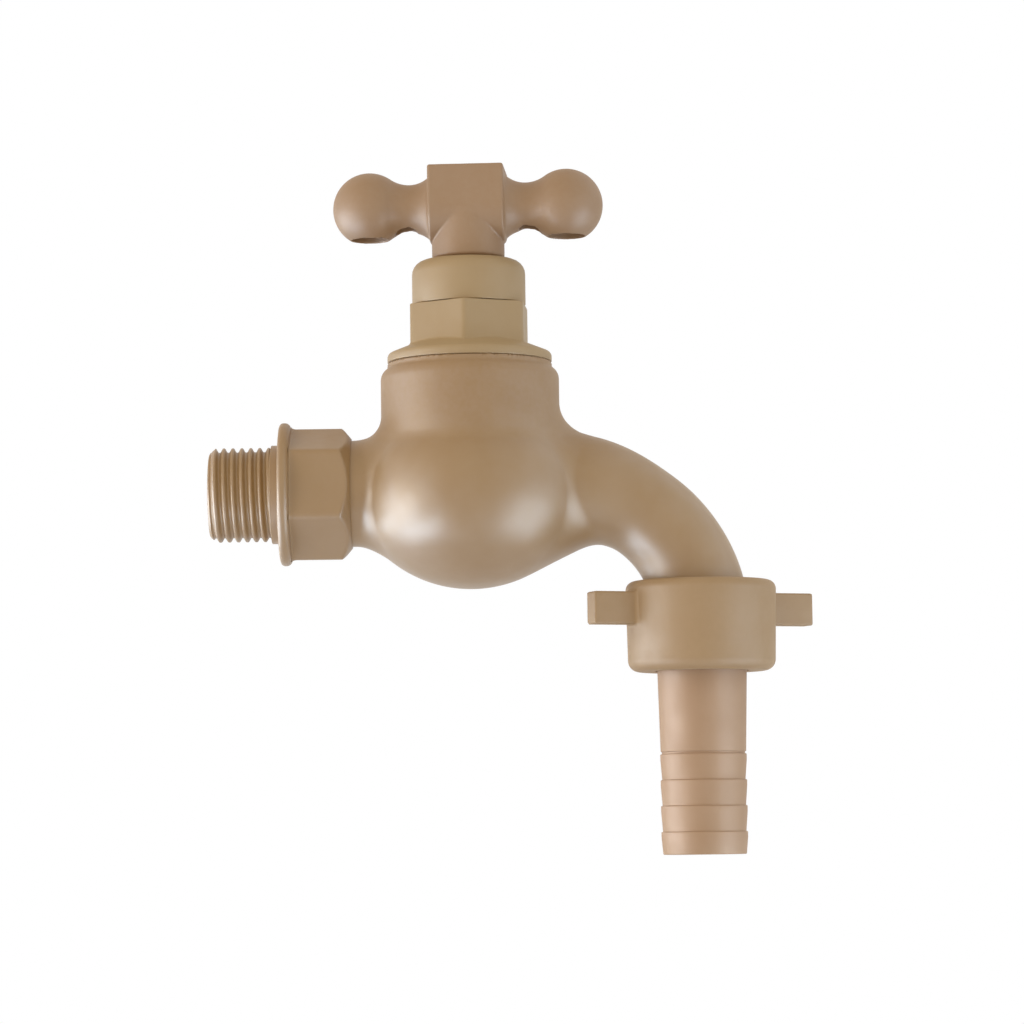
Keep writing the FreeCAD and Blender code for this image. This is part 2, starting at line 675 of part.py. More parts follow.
def draw_bore_path(sketch, start_x):
    """The spout's centre line: straight, a quarter turn, and straight down past the end."""
    bend_x = S.spout_reach - S.spout_bend
    bend_z = S.spout_rise - S.spout_bend
    level = S.spout_rise
    foot = spout_end - S.partition
    first = sketch.addGeometry(Part.LineSegment(
        Vector(start_x.number, level.number, 0), Vector(bend_x.number, level.number, 0)), False)
    bend = sketch.addGeometry(arc_shape(
        Vector(bend_x.number, level.number, 0), Vector(S.spout_reach.number, bend_z.number, 0),
        S.spout_bend.number, -1), False)
    last = sketch.addGeometry(Part.LineSegment(
        Vector(S.spout_reach.number, bend_z.number, 0),
        Vector(S.spout_reach.number, foot.number, 0)), False)
    sketch.addConstraint(Sketcher.Constraint("Coincident", first, 2, bend, 2))
    sketch.addConstraint(Sketcher.Constraint("Coincident", bend, 1, last, 1))
    pin_point(sketch, first, 1, start_x, level)
    pin_point(sketch, first, 2, bend_x, level)
    pin_point(sketch, last, 1, S.spout_reach, bend_z)
    pin_point(sketch, last, 2, S.spout_reach, foot)
    pin_radius(sketch, bend, S.spout_bend)


def make_bonnet():
    """Screwed spigot, round collar, hexagon and screwed gland neck in one moulding."""
    piece = new_piece("bonnet", x=S.spindle_x)
    spigot = S.bonnet_thread_dia / 2
    collar = S.collar_dia / 2
    skirt = S.bonnet_skirt_dia / 2
    screw = S.spindle_thread_dia / 2 + S.fit
    stem = S.stem_dia / 2 + S.fit
    packing = S.packing_dia / 2 + S.fit
    neck = S.gland_thread_dia / 2
    skirt_top = bonnet_foot + S.bonnet_skirt_depth
    rim_top = collar_top - S.collar_fall
    turned(piece, "collar", [
        corner(NO_SIZE, bonnet_foot),
        corner(spigot, bonnet_foot),
        corner(spigot, S.barrel_top),
        corner(collar, S.barrel_top),
        rounded(collar, rim_top, S.collar_round),
        corner(S.bonnet_hex_flats / 2, collar_top),
        corner(neck, collar_top),
        corner(neck, gland_top),
        corner(NO_SIZE, gland_top),
    ])
    hexagon = draw_outline(
        new_sketch(piece, "hexagon_outline", "XY_Plane", offset=rim_top),
        polygon_steps(S.bonnet_hex_flats, HEXAGON, S.bonnet_hex_turn - 90))
    straight(piece, "hexagon", hexagon, hex_top - rim_top)
    turned(piece, "spindle_way", [
        corner(NO_SIZE, bonnet_foot),
        corner(skirt, bonnet_foot),
        corner(skirt, skirt_top),
        corner(screw, skirt_top),
        corner(screw, open_stop),
        corner(stem, open_stop),
        corner(stem, packing_floor),
        corner(packing, packing_floor),
        corner(packing, gland_top),
        corner(NO_SIZE, gland_top),
    ], kind="Groove")
    return piece


def make_ring(name, x, low, high, inner_dia, outer_dia):
    """A plain flat ring."""
    piece = new_piece(name, x=x)
    turned(piece, "ring", box_steps(inner_dia / 2, low, outer_dia / 2, high))
    return piece


def make_seals():
    """The rings that seal the bonnet, the gland and the union."""
    stem_hole = S.stem_dia + S.fit * 2
    return [
        make_ring("bonnet_seal", S.spindle_x, S.barrel_top - S.seal_thick, S.barrel_top,
                  S.bonnet_thread_dia + S.fit * 2, S.seal_dia),
        make_ring("gland_packing", S.spindle_x, packing_floor, packing_top,
                  stem_hole, S.packing_dia),
        make_ring("gland_follower", S.spindle_x, packing_top, follower_top,
                  stem_hole, S.packing_dia),
        make_ring("tail_washer", outlet_x, tail_top, spout_end,
                  S.tail_bore_dia, tail_flange_dia),
    ]


def make_gland_cap():
    """Round cap that screws on the bonnet's neck and presses the follower down."""
    piece = new_piece("gland_cap", x=S.spindle_x)
    outer = S.cap_dia / 2
    thread = S.gland_thread_dia / 2 + S.fit
    hole = S.cap_hole_dia / 2
    turned(piece, "cap", [
        corner(thread, cap_foot),
        corner(outer, cap_foot),
        rounded(outer, cap_top, S.cap_round),
        corner(hole, cap_top),
        corner(hole, follower_top),
        corner(thread, follower_top),
    ])
    return piece


def make_valve():
    """Jumper with its stem, washer, nut and split clip: what rises without turning."""
    jumper = new_piece("jumper", x=S.spindle_x)
    stud = S.stud_dia / 2
    plate = S.plate_dia / 2
    stem = S.jumper_stem_dia / 2
    groove = S.clip_inner_dia / 2
    washer_foot = seat_top + S.end_play
    stud_foot = washer_foot - S.nut_thick - S.stud_spare
    stem_end = plate_top + S.jumper_stem_length
    clip_foot = plate_top + S.clip_height
    clip_top = clip_foot + S.clip_thick
    turned(jumper, "jumper_stem", [
        corner(NO_SIZE, stud_foot),
        corner(stud, stud_foot),
        corner(stud, washer_top),
        corner(plate, washer_top),
        rounded(plate, plate_top, S.plate_thick / 4),
        corner(stem, plate_top),
        corner(stem, clip_foot - S.fit),
        corner(groove, clip_foot - S.fit),
        corner(groove, clip_top + S.fit),
        corner(stem, clip_top + S.fit),
        rounded(stem, stem_end, S.plate_thick / 4),
        corner(NO_SIZE, stem_end),
    ])
    washer = make_ring("valve_washer", S.spindle_x, washer_foot, washer_top,
                       S.stud_dia, S.washer_dia)
    nut = new_piece("washer_nut", x=S.spindle_x)
    hexagon = draw_outline(
        new_sketch(nut, "nut_outline", "XY_Plane", offset=washer_foot - S.nut_thick),
        polygon_steps(S.nut_flats, HEXAGON, NO_SIZE))
    straight(nut, "nut", hexagon, S.nut_thick)
    hole = draw_circle(
        new_sketch(nut, "nut_circle", "XY_Plane", offset=washer_foot), S.stud_dia)
    straight(nut, "nut_hole", hole, S.nut_thick, kind="Pocket")
    clip = make_ring("jumper_clip", S.spindle_x, clip_foot, clip_top,
                     S.clip_inner_dia + S.fit * 2, S.clip_outer_dia)
    slot = draw_outline(
        new_sketch(clip, "split_outline", "XY_Plane", offset=clip_top),
        box_steps(NO_SIZE, -S.clip_gap / 2, S.clip_outer_dia, S.clip_gap / 2))
    straight(clip, "split", slot, S.clip_thick, kind="Pocket")
    return [jumper, washer, nut, clip]


def make_spindle():
    """Screwed part, plain stem and square drive, bored for the jumper and the handle screw."""
    piece = new_piece("spindle", x=S.spindle_x, turn=S.handle_turn)
    screw = S.spindle_thread_dia / 2
    stem = S.stem_dia / 2
    jumper = S.jumper_stem_dia / 2 + S.fit
    clip_room = S.clip_outer_dia / 2 + S.fit * 2
    clip_foot = plate_top + S.clip_height - S.fit * 2
    clip_top = plate_top + S.clip_height + S.clip_thick + S.fit * 2
    well_top = plate_top + S.jumper_stem_length + S.stop_gap
    turned(piece, "stem", [
        corner(NO_SIZE, spindle_foot),
        corner(screw, spindle_foot),
        corner(screw, shoulder),
        corner(stem, shoulder),
        corner(stem, stem_top),
        corner(NO_SIZE, stem_top),
    ])
    turned(piece, "jumper_well", [
        corner(NO_SIZE, spindle_foot),
        corner(jumper, spindle_foot),
        corner(jumper, clip_foot),
        corner(clip_room, clip_foot),
        corner(clip_room, clip_top),
        corner(jumper, clip_top),
        corner(jumper, well_top),
        corner(NO_SIZE, well_top),
    ], kind="Groove")
    half = S.drive_flats / 2
    square = draw_outline(new_sketch(piece, "drive_outline", "XY_Plane", offset=stem_top),
                          box_steps(-half, -half, half, half))
    straight(piece, "drive", square, S.drive_length)
    tapped = draw_circle(new_sketch(piece, "screw_circle", "XY_Plane", offset=spindle_top),
                         S.screw_dia + S.fit * 2)
    straight(piece, "screw_hole", tapped, S.screw_length, kind="Pocket")
    return piece


def make_handle():
    """T-handle: U-shaped hub block over a round neck, and two arms that end in balls."""
    piece = new_piece("handle", x=S.spindle_x, z=arm_axis, turn=S.handle_turn)
    depth = S.hub_depth / 2
    neck = draw_circle(new_sketch(piece, "neck_circle", "XY_Plane", offset=-S.arm_rise),
                       S.hub_neck_dia)
    straight(piece, "neck", neck, S.arm_rise)
    block = draw_outline(
        new_sketch(piece, "hub_outline", "YZ_Plane", offset=-S.hub_width / 2), [
            rounded(depth, S.hub_top, S.hub_edge),
            rounded(-depth, S.hub_top, S.hub_edge),
            corner(-depth, NO_SIZE),
            arc_to(NO_SIZE, -depth, depth, 1),
            arc_to(depth, NO_SIZE, depth, 1),
        ])
    straight(piece, "hub", block, S.hub_width)
    for name, side in (("right_arm", 1), ("left_arm", -1)):
        make_arm(piece, name, side)
    make_handle_bores(piece)
    return piece


def make_arm(piece, name, side):
    """One arm, turned: a flare out of the hub, a waist, and a ball joined by a hollow."""
    ball = S.ball_dia / 2
    waist = S.arm_waist_dia / 2
    run = S.arm_reach - S.arm_waist_at
    hollow = (run * run + waist * waist - ball * ball) / ((ball - waist) * 2)
    share = ball / (ball + hollow)
    join_x = S.arm_reach - run * share
    join_r = (waist + hollow) * share
    inner = S.hub_width / 2
    back = S.arm_waist_at - inner
    flare_r = waist + S.arm_flare - square_root(S.arm_flare * S.arm_flare - back * back)
    tip = S.arm_reach + ball
    turned(piece, name, [
        corner(NO_SIZE, NO_SIZE),
        corner(tip * side, NO_SIZE),
        arc_to(join_x * side, join_r, ball, side),
        arc_to(S.arm_waist_at * side, waist, hollow, -side),
        arc_to(inner * side, flare_r, S.arm_flare, -side),
        corner(NO_SIZE, flare_r),
    ], axis="H_Axis")
    foot = ball - S.ball_flat
    cut = draw_outline(
        new_sketch(piece, name + "_flat_outline", "XY_Plane", offset=-foot),
        box_steps(S.arm_reach * side - ball, -ball, S.arm_reach * side + ball, ball))
    straight(piece, name + "_flat", cut, S.ball_flat * 2, kind="Pocket")
    core = draw_circle(
        new_sketch(piece, name + "_core_circle", "XY_Plane", offset=-foot),
        S.core_dia, u=S.arm_reach * side)
    straight(piece, name + "_core", core, S.core_depth, kind="Pocket", reverse=True)


def make_handle_bores(piece):
    """Socket for the stem and its square, screw hole, and the recess for the screw's head."""
    half = S.drive_flats / 2 + S.fit
    entry = draw_circle(new_sketch(piece, "stem_circle", "XY_Plane", offset=-S.arm_rise),
                        S.stem_dia + S.fit * 2)
    straight(piece, "stem_entry", entry, S.stem_entry + S.fit, kind="Pocket", reverse=True)
    square = draw_outline(new_sketch(piece, "socket_outline", "XY_Plane", offset=-S.arm_rise),
                          box_steps(-half, -half, half, half))
    straight(piece, "socket", square, S.stem_entry + S.drive_length + S.stop_gap,
             kind="Pocket", reverse=True)
    well = draw_circle(new_sketch(piece, "well_circle", "XY_Plane", offset=S.hub_top),
                       S.screw_well_dia)
    straight(piece, "screw_well", well, S.screw_well_depth, kind="Pocket")
    hole = draw_circle(new_sketch(piece, "screw_circle", "XY_Plane", offset=S.hub_top),
                       S.screw_dia + S.fit * 8)
    straight(piece, "screw_hole", hole, S.hub_top, kind="Pocket")


def make_screw():
    """Handle screw with a domed head, and the plain washer under it."""
    washer = make_ring("screw_washer", S.spindle_x, screw_seat,
                       screw_seat + S.screw_washer_thick,
                       S.screw_dia + S.fit * 8, S.screw_washer_dia)
    screw = new_piece("handle_screw", x=S.spindle_x)
    head_foot = screw_seat + S.screw_washer_thick
    head_top = head_foot + S.screw_head_height
    shank = S.screw_dia / 2
    head = S.screw_head_dia / 2
    turned(screw, "screw", [
        corner(NO_SIZE, head_foot - S.screw_length),
        corner(shank, head_foot - S.screw_length),
        corner(shank, head_foot),
        corner(head, head_foot),
        rounded(head, head_top, S.screw_head_round),
        corner(NO_SIZE, head_top),
    ])
    return [screw, washer]


def make_hose_tail():
    """Barbed tail: flange, slightly tapered pipe, shallow groove and a row of barbs."""
    piece = new_piece("hose_tail", x=outlet_x)
    bore = S.tail_bore_dia / 2
    flange = tail_flange_dia / 2
    edge, root = S.barb_dia / 2, S.barb_root_dia / 2
    first_barb = nut_foot - S.tail_plain_length
    outline = [
        corner(bore, tail_top),
        corner(bore, first_barb - S.barb_pitch * (BARB_COUNT - 1) - S.barb_last),
    ]
    for index in reversed(range(BARB_COUNT)):
        top = first_barb - S.barb_pitch * index
        length = S.barb_last if index == BARB_COUNT - 1 else S.barb_pitch
        outline += [corner(root, top - length), corner(edge, top - S.barb_land),
                    corner(edge, top)]
    groove = S.tail_groove_dia / 2
    outline += [
        corner(groove, first_barb),
        corner(groove, first_barb + S.tail_groove_width),
        corner(S.tail_foot_dia / 2, first_barb + S.tail_groove_width),
        corner(S.tail_neck_dia / 2, nut_foot),
        corner(S.tail_neck_dia / 2, tail_ledge),
        corner(flange, tail_ledge),
        corner(flange, tail_top),
    ]
    turned(piece, "tail", outline)
    return piece


def make_union_nut():
    """Tapered round nut with an inward rim below and two flat wings near its top."""
    piece = new_piece("union_nut", x=outlet_x)
    bore = S.outlet_thread_dia / 2 + S.fit
    hole = S.tail_neck_dia / 2 + S.nut_hole_play
    turned(piece, "nut_shell", [
        corner(hole, nut_foot),
        rounded(S.nut_foot_dia / 2, nut_foot, S.nut_foot_round),
        rounded(S.nut_top_dia / 2, nut_top, S.nut_top_round),
        corner(bore, nut_top),
        corner(bore, nut_ledge),
        corner(hole, nut_ledge),
    ])
    wing_top = nut_top - S.wing_drop
    inner = bore + (S.nut_top_dia / 2 - bore) / 2
    for name, turn in (("right_wing", S.wing_turn), ("left_wing", S.wing_turn + 180)):
        outline = turned_box(inner, -S.wing_thick / 2, S.wing_span / 2, S.wing_thick / 2, turn)
        sketch = draw_outline(
            new_sketch(piece, name + "_outline", "XY_Plane", offset=wing_top), outline)
        straight(piece, name, sketch, S.wing_height, reverse=True)
    return piece


def turned_box(u_low, v_low, u_high, v_high, turn):
    """The four corners of a rectangle, turned about the sketch's origin."""
    corners = ((u_low, v_low), (u_high, v_low), (u_high, v_high), (u_low, v_high))
    return [corner(u * cosine(turn) - v * sine(turn), u * sine(turn) + v * cosine(turn))
            for u, v in corners]


def check_document():
    """Stops if any object failed or any piece isn't one valid solid."""
    doc.recompute()
    for item in doc.Objects:
        if "Invalid" in item.State or "Error" in item.State:
            raise RuntimeError("%s is %s" % (item.Name, item.State))
    for piece in pieces:
        shape = piece.Shape
        if shape.isNull() or not shape.isValid() or len(shape.Solids) != 1:
            raise RuntimeError("%s is not one valid solid" % piece.Label)


pieces = [make_body(), make_bonnet(), make_gland_cap(), make_spindle(), make_handle(),
          make_hose_tail(), make_union_nut()]
pieces += make_seals() + make_valve() + make_screw()
check_document()

os.makedirs("parts", exist_ok=True)
for piece in pieces:
    piece.Shape.exportStep(os.path.join("parts", piece.Label + ".step"))
    box = piece.Shape.BoundBox
    print("%-15s %9.1f mm3, z %.2f to %.2f" % (piece.Label, piece.Shape.Volume, box.ZMin, box.ZMax))
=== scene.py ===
# %% [markdown]
# A bib tap in satin moulded plastic: a globe body with a threaded inlet and a
# curved spout, a screwed bonnet, a T-handle, and a winged nut that holds a hose
# tail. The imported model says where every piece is. This lesson gives each piece
# its finished surface and its material, and leaves every place and size alone.

# %% Load the model
import math

import bmesh
import bpy
import numpy as np
from mathutils import Matrix, Vector


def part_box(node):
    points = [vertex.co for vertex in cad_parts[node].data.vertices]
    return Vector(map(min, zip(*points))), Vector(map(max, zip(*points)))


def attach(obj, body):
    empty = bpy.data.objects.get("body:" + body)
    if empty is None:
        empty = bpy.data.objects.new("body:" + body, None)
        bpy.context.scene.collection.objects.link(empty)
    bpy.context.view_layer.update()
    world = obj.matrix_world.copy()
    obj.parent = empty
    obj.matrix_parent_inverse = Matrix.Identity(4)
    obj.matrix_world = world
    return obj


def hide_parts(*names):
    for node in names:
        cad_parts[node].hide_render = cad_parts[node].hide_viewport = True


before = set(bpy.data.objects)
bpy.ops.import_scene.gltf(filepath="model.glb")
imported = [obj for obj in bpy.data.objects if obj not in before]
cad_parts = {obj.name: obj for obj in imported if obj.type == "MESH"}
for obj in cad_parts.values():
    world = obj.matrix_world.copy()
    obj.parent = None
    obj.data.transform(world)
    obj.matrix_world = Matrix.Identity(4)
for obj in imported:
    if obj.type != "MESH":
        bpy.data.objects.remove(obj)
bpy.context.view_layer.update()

# %% [markdown]
# The shapes below are in millimetres, as on a drawing, and become metres only when
# a mesh is written. Bumps, lamps and the camera are in metres, as Blender counts.
# The levels that pieces share come from the model's own boxes, so a new size there
# moves the surfaces here.

# %% Read the shared levels
MM = 0.001


def low(node):
    """Lowest corner of a node, in millimetres."""
    return np.array(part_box(node)[0]) / MM


def high(node):
    """Highest corner of a node, in millimetres."""
    return np.array(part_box(node)[1]) / MM


def radius_of(node):
    """Half of a round node's size along Y."""
    return (high(node)[1] - low(node)[1]) / 2


spindle_x = (low("gland_cap")[0] + high("gland_cap")[0]) / 2
outlet_x = (low("hose_tail")[0] + high("hose_tail")[0]) / 2
barrel_top = high("bonnet_seal")[2]
spout_end = high("tail_washer")[2]
nut_top, nut_foot = high("union_nut")[2], low("union_nut")[2]
cap_foot, cap_top = low("gland_cap")[2], high("gland_cap")[2]
print("spindle at x %.1f, outlet at x %.1f, barrel top at z %.1f" % (spindle_x, outlet_x, barrel_top))

# %% [markdown]
# A finished surface is a grid of points: rows follow an outline, and columns go
# round. Whole arrays go into the mesh at once, which is much quicker than adding
# one vertex after another. Rows that shrink to a point on the axis are welded
# into one pole, and edges sharper than the limit stay crisp under smooth shading.

# %% Put arrays into a mesh
CRISP_ANGLE = math.radians(38)
WELD_GAP = 1e-7
COLUMNS = 240
TURN = np.arange(COLUMNS) * (2 * np.pi / COLUMNS)
print("%d columns, one every %.1f degrees" % (COLUMNS, 360 / COLUMNS))


def new_object(name, points, quads, normals=None):
    """Points in millimetres and rows of four indices become one smooth mesh object.

    A mesh without normals of its own is welded, turned outwards and given crisp edges.
    """
    mesh = bpy.data.meshes.new(name)
    mesh.vertices.add(len(points))
    mesh.vertices.foreach_set("co", (np.asarray(points) * MM).astype(np.float32).ravel())
    mesh.loops.add(quads.size)
    mesh.loops.foreach_set("vertex_index", quads.astype(np.int32).ravel())
    mesh.polygons.add(len(quads))
    mesh.polygons.foreach_set("loop_start", np.arange(0, quads.size, 4, dtype=np.int32))
    mesh.update(calc_edges=True)
    mesh.polygons.foreach_set("use_smooth", np.ones(len(quads), dtype=bool))
    if normals is None:
        shell = bmesh.new()
        shell.from_mesh(mesh)
        bmesh.ops.remove_doubles(shell, verts=shell.verts, dist=WELD_GAP)
        bmesh.ops.recalc_face_normals(shell, faces=shell.faces)
        shell.to_mesh(mesh)
        shell.free()
        mesh.set_sharp_from_angle(angle=CRISP_ANGLE)
    else:
        mesh.normals_split_custom_set_from_vertices(normals.tolist())
    item = bpy.data.objects.new(name, mesh)
    bpy.context.scene.collection.objects.link(item)
    print("%s: %d faces" % (name, len(mesh.polygons)))
    return item


def net_of(rows, columns):
    """Each cell of a rows x columns grid as one quad; both directions close on themselves."""
    index = np.arange(rows * columns).reshape(rows, columns)
    right, above = np.roll(index, -1, axis=1), np.roll(index, -1, axis=0)
    return np.stack([index, right, np.roll(above, -1, axis=1), above], axis=-1).reshape(-1, 4)


# %% [markdown]
# Most of the tap is turned: an outline in radius and height swung round an axis.
# No moulded edge is truly sharp, so a corner of an outline carries a rounding.
# The outline is closed, so a turned piece has an inside as well as an outside.

# %% Draw an outline and turn it
ARC_STEPS = 7


def outline(*corners):
    """Rows (radius, height) along corners (radius, height, rounding).

    A rounded corner becomes an arc. It starts and ends where its circle touches both
    edges, rounding / tan(half the corner's angle) from the corner, and goes round the
    circle's middle in equal steps.
    """
    spots = np.array([corner[:2] for corner in corners], float)
    path = []
    for spot, before, after, corner in zip(
            spots, np.roll(spots, 1, axis=0), np.roll(spots, -1, axis=0), corners):
        rounding = corner[2] if len(corner) > 2 else 0
        if rounding == 0:
            path.append(spot[None])
            continue
        back = (before - spot) / np.linalg.norm(before - spot)
        ahead = (after - spot) / np.linalg.norm(after - spot)
        half = math.acos(np.clip(back @ ahead, -1, 1)) / 2
        middle = spot + (back + ahead) / np.linalg.norm(back + ahead) * rounding / math.sin(half)
        start = spot + back * rounding / math.tan(half) - middle
        end = spot + ahead * rounding / math.tan(half) - middle
        share = np.linspace(0, 1, ARC_STEPS)[:, None]
        swing = math.pi - 2 * half
        arc = (np.sin((1 - share) * swing) * start + np.sin(share * swing) * end) / math.sin(swing)
        path.append(middle + arc)
    return list(np.vstack(path))


print("a square with one rounded corner has %d rows" % len(outline((0, 0), (2, 0, 0.5), (2, 2), (0, 2))))


def turned(name, path, x=0.0, along="Z"):
    """Rows (radius, height) swung round an axis: point = (r cos t, r sin t, height).

    The axis is +Z at x, or +X through the origin, where t is counted from +Y.
    """
    radius = np.stack([np.broadcast_to(row[0], COLUMNS) for row in path]).astype(float)
    height = np.stack([np.broadcast_to(row[1], COLUMNS) for row in path]).astype(float)
    across, over = radius * np.cos(TURN), radius * np.sin(TURN)
    if along == "Z":
        points = np.stack([x + across, over, height], axis=-1)
    else:
        points = np.stack([height, across, over], axis=-1)
    return new_object(name, points.reshape(-1, 3), net_of(len(path), COLUMNS))


# %% [markdown]
# A hexagon and a thread are turned too, but their radius changes round the axis. So
# a row of the outline holds either one radius or a radius for every column. A true
# helix takes no more work this way: each row's wave starts a little further round.

# %% Hexagons and threads
FLANK_SLOPE = 1.35
ROWS_PER_PITCH = 14


def hexagon(flats, turn, crispness=70):
    """Radius of a hexagon in every direction: the high-power mean of its six flats.

    1 / r to the power p is the sum of (cos(t - flat) / half the flats) to the power p,
    so a large p gives flats with slightly rounded corners.
    """
    flat = np.radians(turn + 60.0 * np.arange(6))[:, None]
    reach = np.maximum(np.cos(TURN[None] - flat), 0) / (flats / 2)
    return np.sum(reach ** crispness, axis=0) ** (-1 / crispness)


def thread(crest, pitch, depth, height, turn=TURN):
    """Radius on a right-hand thread: a rounded wave of height / pitch - turn / (2 pi)."""
    phase = (height / pitch - turn / (2 * np.pi)) % 1.0
    flank = np.clip((np.abs(2 * phase - 1) - 0.5) * FLANK_SLOPE + 0.5, 0, 1)
    return crest - depth * (0.5 - 0.5 * np.cos(np.pi * flank))


def thread_rows(crest, pitch, depth, start, end):
    """Rows of a thread between two heights; both ends rise from the root in half a pitch.

    Near an end the radius is at most root + 2 x depth x distance from the end / pitch.
    """
    count = int(abs(end - start) / pitch * ROWS_PER_PITCH)
    rows = []
    for height in np.linspace(start, end, count):
        near_end = min(abs(height - start), abs(height - end)) / pitch
        rows.append((np.minimum(thread(crest, pitch, depth, height),
                                crest - depth + 2 * depth * near_end), height))
    return rows


print("a hexagon of 26 mm is %.1f mm over its softened corners" % (2 * hexagon(26.0, 0.0).max()))

# %% [markdown]
# The globe, neck and spout flow into each other with wide fillets, which a turned
# outline can't do. Such a moulding can be described by its distance field: a number
# that is negative inside the plastic, zero on its skin and positive outside. Two
# fields join with a fillet by simple arithmetic, while a bevel on a cut mesh would
# fail where the fillet's width changes.

# %% Fields and how they join
def join(first, second, fillet):
    """Union of two fields; a quarter circle of the fillet's radius fills the corner.

    It is the larger of the fillet and the nearer field, less the hypotenuse of what
    each field is short of the fillet.
    """
    gap = np.hypot(np.maximum(fillet - first, 0), np.maximum(fillet - second, 0))
    return np.maximum(fillet, np.minimum(first, second)) - gap


def meet(first, second, rounding):
    """What two fields share, with the edge between them rounded: the join turned inside out."""
    return -join(-first, -second, rounding)


def cut(solid, tool, rounding):
    """What is left of the solid outside the tool, with the new edge rounded."""
    return meet(solid, -tool, rounding)


def rectangle(across, along, half_across, half_along, rounding=0.0):
    """Signed distance to a rectangle about the origin of a plane, with rounded corners.

    Both sides are moved in by the rounding. The distance is the hypotenuse of what
    lies past them, or inside them the nearer one's distance, less the rounding.
    """
    over_a = np.abs(across) - half_across + rounding
    over_b = np.abs(along) - half_along + rounding
    outside = np.hypot(np.maximum(over_a, 0), np.maximum(over_b, 0))
    return outside + np.minimum(np.maximum(over_a, over_b), 0) - rounding


def drum(radius, height, drum_radius, foot, top, rounding=0.0):
    """Signed distance to a cylinder between two levels, from the radius and the height."""
    return rectangle(radius, height - (foot + top) / 2, drum_radius, (top - foot) / 2, rounding)


print("1 mm from both walls, a point is %.2f mm from their 2 mm fillet" % join(1.0, 1.0, 2.0))

# %% [markdown]
# The skin is where the field is zero. A point near it moves along the field's slope
# until it lies on it. Between two such moves it slides towards the middle of its
# neighbours, which evens the faces out.

# %% Settle points on the skin
SLOPE_STEP = 0.02
SETTLE_ROUNDS, SETTLE_SHARE = 5, 0.5
LEAST_SQUARE = 0.25


def slope(field, points):
    """The field's gradient along X, Y and Z: (value ahead - value behind) / (2 steps)."""
    parts = []
    for step in np.eye(3) * SLOPE_STEP:
        parts.append((field(*(points + step).T) - field(*(points - step).T)) / (2 * SLOPE_STEP))
    return np.stack(parts, axis=1)


def settle(points, quads, field):
    """Evens the net out along the skin and drops each point back onto the zero level.

    A point moves by -slope x field / square of the slope. The square counts as
    LEAST_SQUARE or more, so that no point is thrown off where the slope fades.
    """
    start, end = quads.ravel(), np.roll(quads, -1, axis=1).ravel()
    links = np.bincount(start, minlength=len(points)) + np.bincount(end, minlength=len(points))
    for _ in range(SETTLE_ROUNDS):
        mean = np.stack([np.bincount(start, line[end], len(points))
                         + np.bincount(end, line[start], len(points)) for line in points.T], axis=1)
        drift = mean / links[:, None] - points
        steep = slope(field, points)
        square = np.sum(steep ** 2, axis=1)[:, None]
        slide = drift - steep * np.sum(drift * steep, axis=1)[:, None] / square
        points = points + SETTLE_SHARE * slide
        steep = slope(field, points)
        square = np.maximum(np.sum(steep ** 2, axis=1), LEAST_SQUARE)
        points = points - steep * (field(*points.T) / square)[:, None]
    return points


# %% [markdown]
# The net itself comes from a grid of small cells. A cell that the skin passes
# through gets one point, and the four cells round a grid edge that the skin crosses
# share one face, so the net is closed by itself, holes and all.

# %% Lay a net over a field
def shifted(array, others, shape, shift):
    """The part of an edge array that lies at one of a cell's four edges along its axis."""
    window = [slice(None)] * 3
    for axis, step in zip(others, shift):
        window[axis] = slice(step, step + shape[axis])
    return array[tuple(window)]


def lay_net(name, field, start, end, cell, offset=(0.0, 0.0, 0.0)):
    """A closed mesh on the zero level of the field, in a box from start to end.

    Each cell that the skin crosses gets the mean of the crossings on its edges, and
    each grid edge that the skin crosses joins its four cells with one quad.
    """
    lines = [np.arange(first, last + cell, cell) for first, last in zip(start, end)]
    values = field(*np.meshgrid(*lines, indexing="ij"))
    if min(values.take(side, axis).min() for axis in range(3) for side in (0, -1)) < 0:
        raise ValueError(name + " reaches out of its box")
    shape = np.array(values.shape) - 1
    total, count, edges = np.zeros((*shape, 3)), np.zeros(shape), []
    for axis in range(3):
        first = values.take(range(values.shape[axis] - 1), axis)
        second = values.take(range(1, values.shape[axis]), axis)
        crossed = (first < 0) != (second < 0)
        place = np.stack(np.indices(crossed.shape), axis=-1).astype(float)
        place[..., axis] += first / np.where(crossed, first - second, 1)
        place[~crossed] = 0
        others = [other for other in range(3) if other != axis]
        for shift in ((0, 0), (0, 1), (1, 0), (1, 1)):
            total += shifted(place, others, shape, shift)
            count += shifted(crossed, others, shape, shift)
        edges.append((axis, others, crossed, first < 0))
    used = count > 0
    number = np.full(shape, -1)
    number[used] = np.arange(used.sum())
    points = total[used] / count[used][:, None] * cell + np.array(start)
    quads = []
    for axis, others, crossed, inside in edges:
        ring = []
        for shift in ((1, 1), (0, 1), (0, 0), (1, 0)):
            spot = np.argwhere(crossed)
            spot[:, others] -= shift
            ring.append(number[tuple(spot.T)])
        ring = np.stack(ring, axis=1)
        outward = inside[crossed] if axis != 1 else ~inside[crossed]
        quads.append(np.where(outward[:, None], ring, ring[:, ::-1]))
    quads = np.vstack(quads)
    points = settle(points, quads, field)
    normals = slope(field, points)
    normals /= np.linalg.norm(normals, axis=1)[:, None]
    return new_object(name, points + np.array(offset), quads, normals)


# %% [markdown]
# The body is one moulding. Its globe is a flattened ball: a wide arc below, a
# tighter arc at the side and a small fillet up to the straight barrel. Each arc
# touches the next, so the skin has no kink. Everything here is measured from the
# spindle's axis, at the inlet's height.

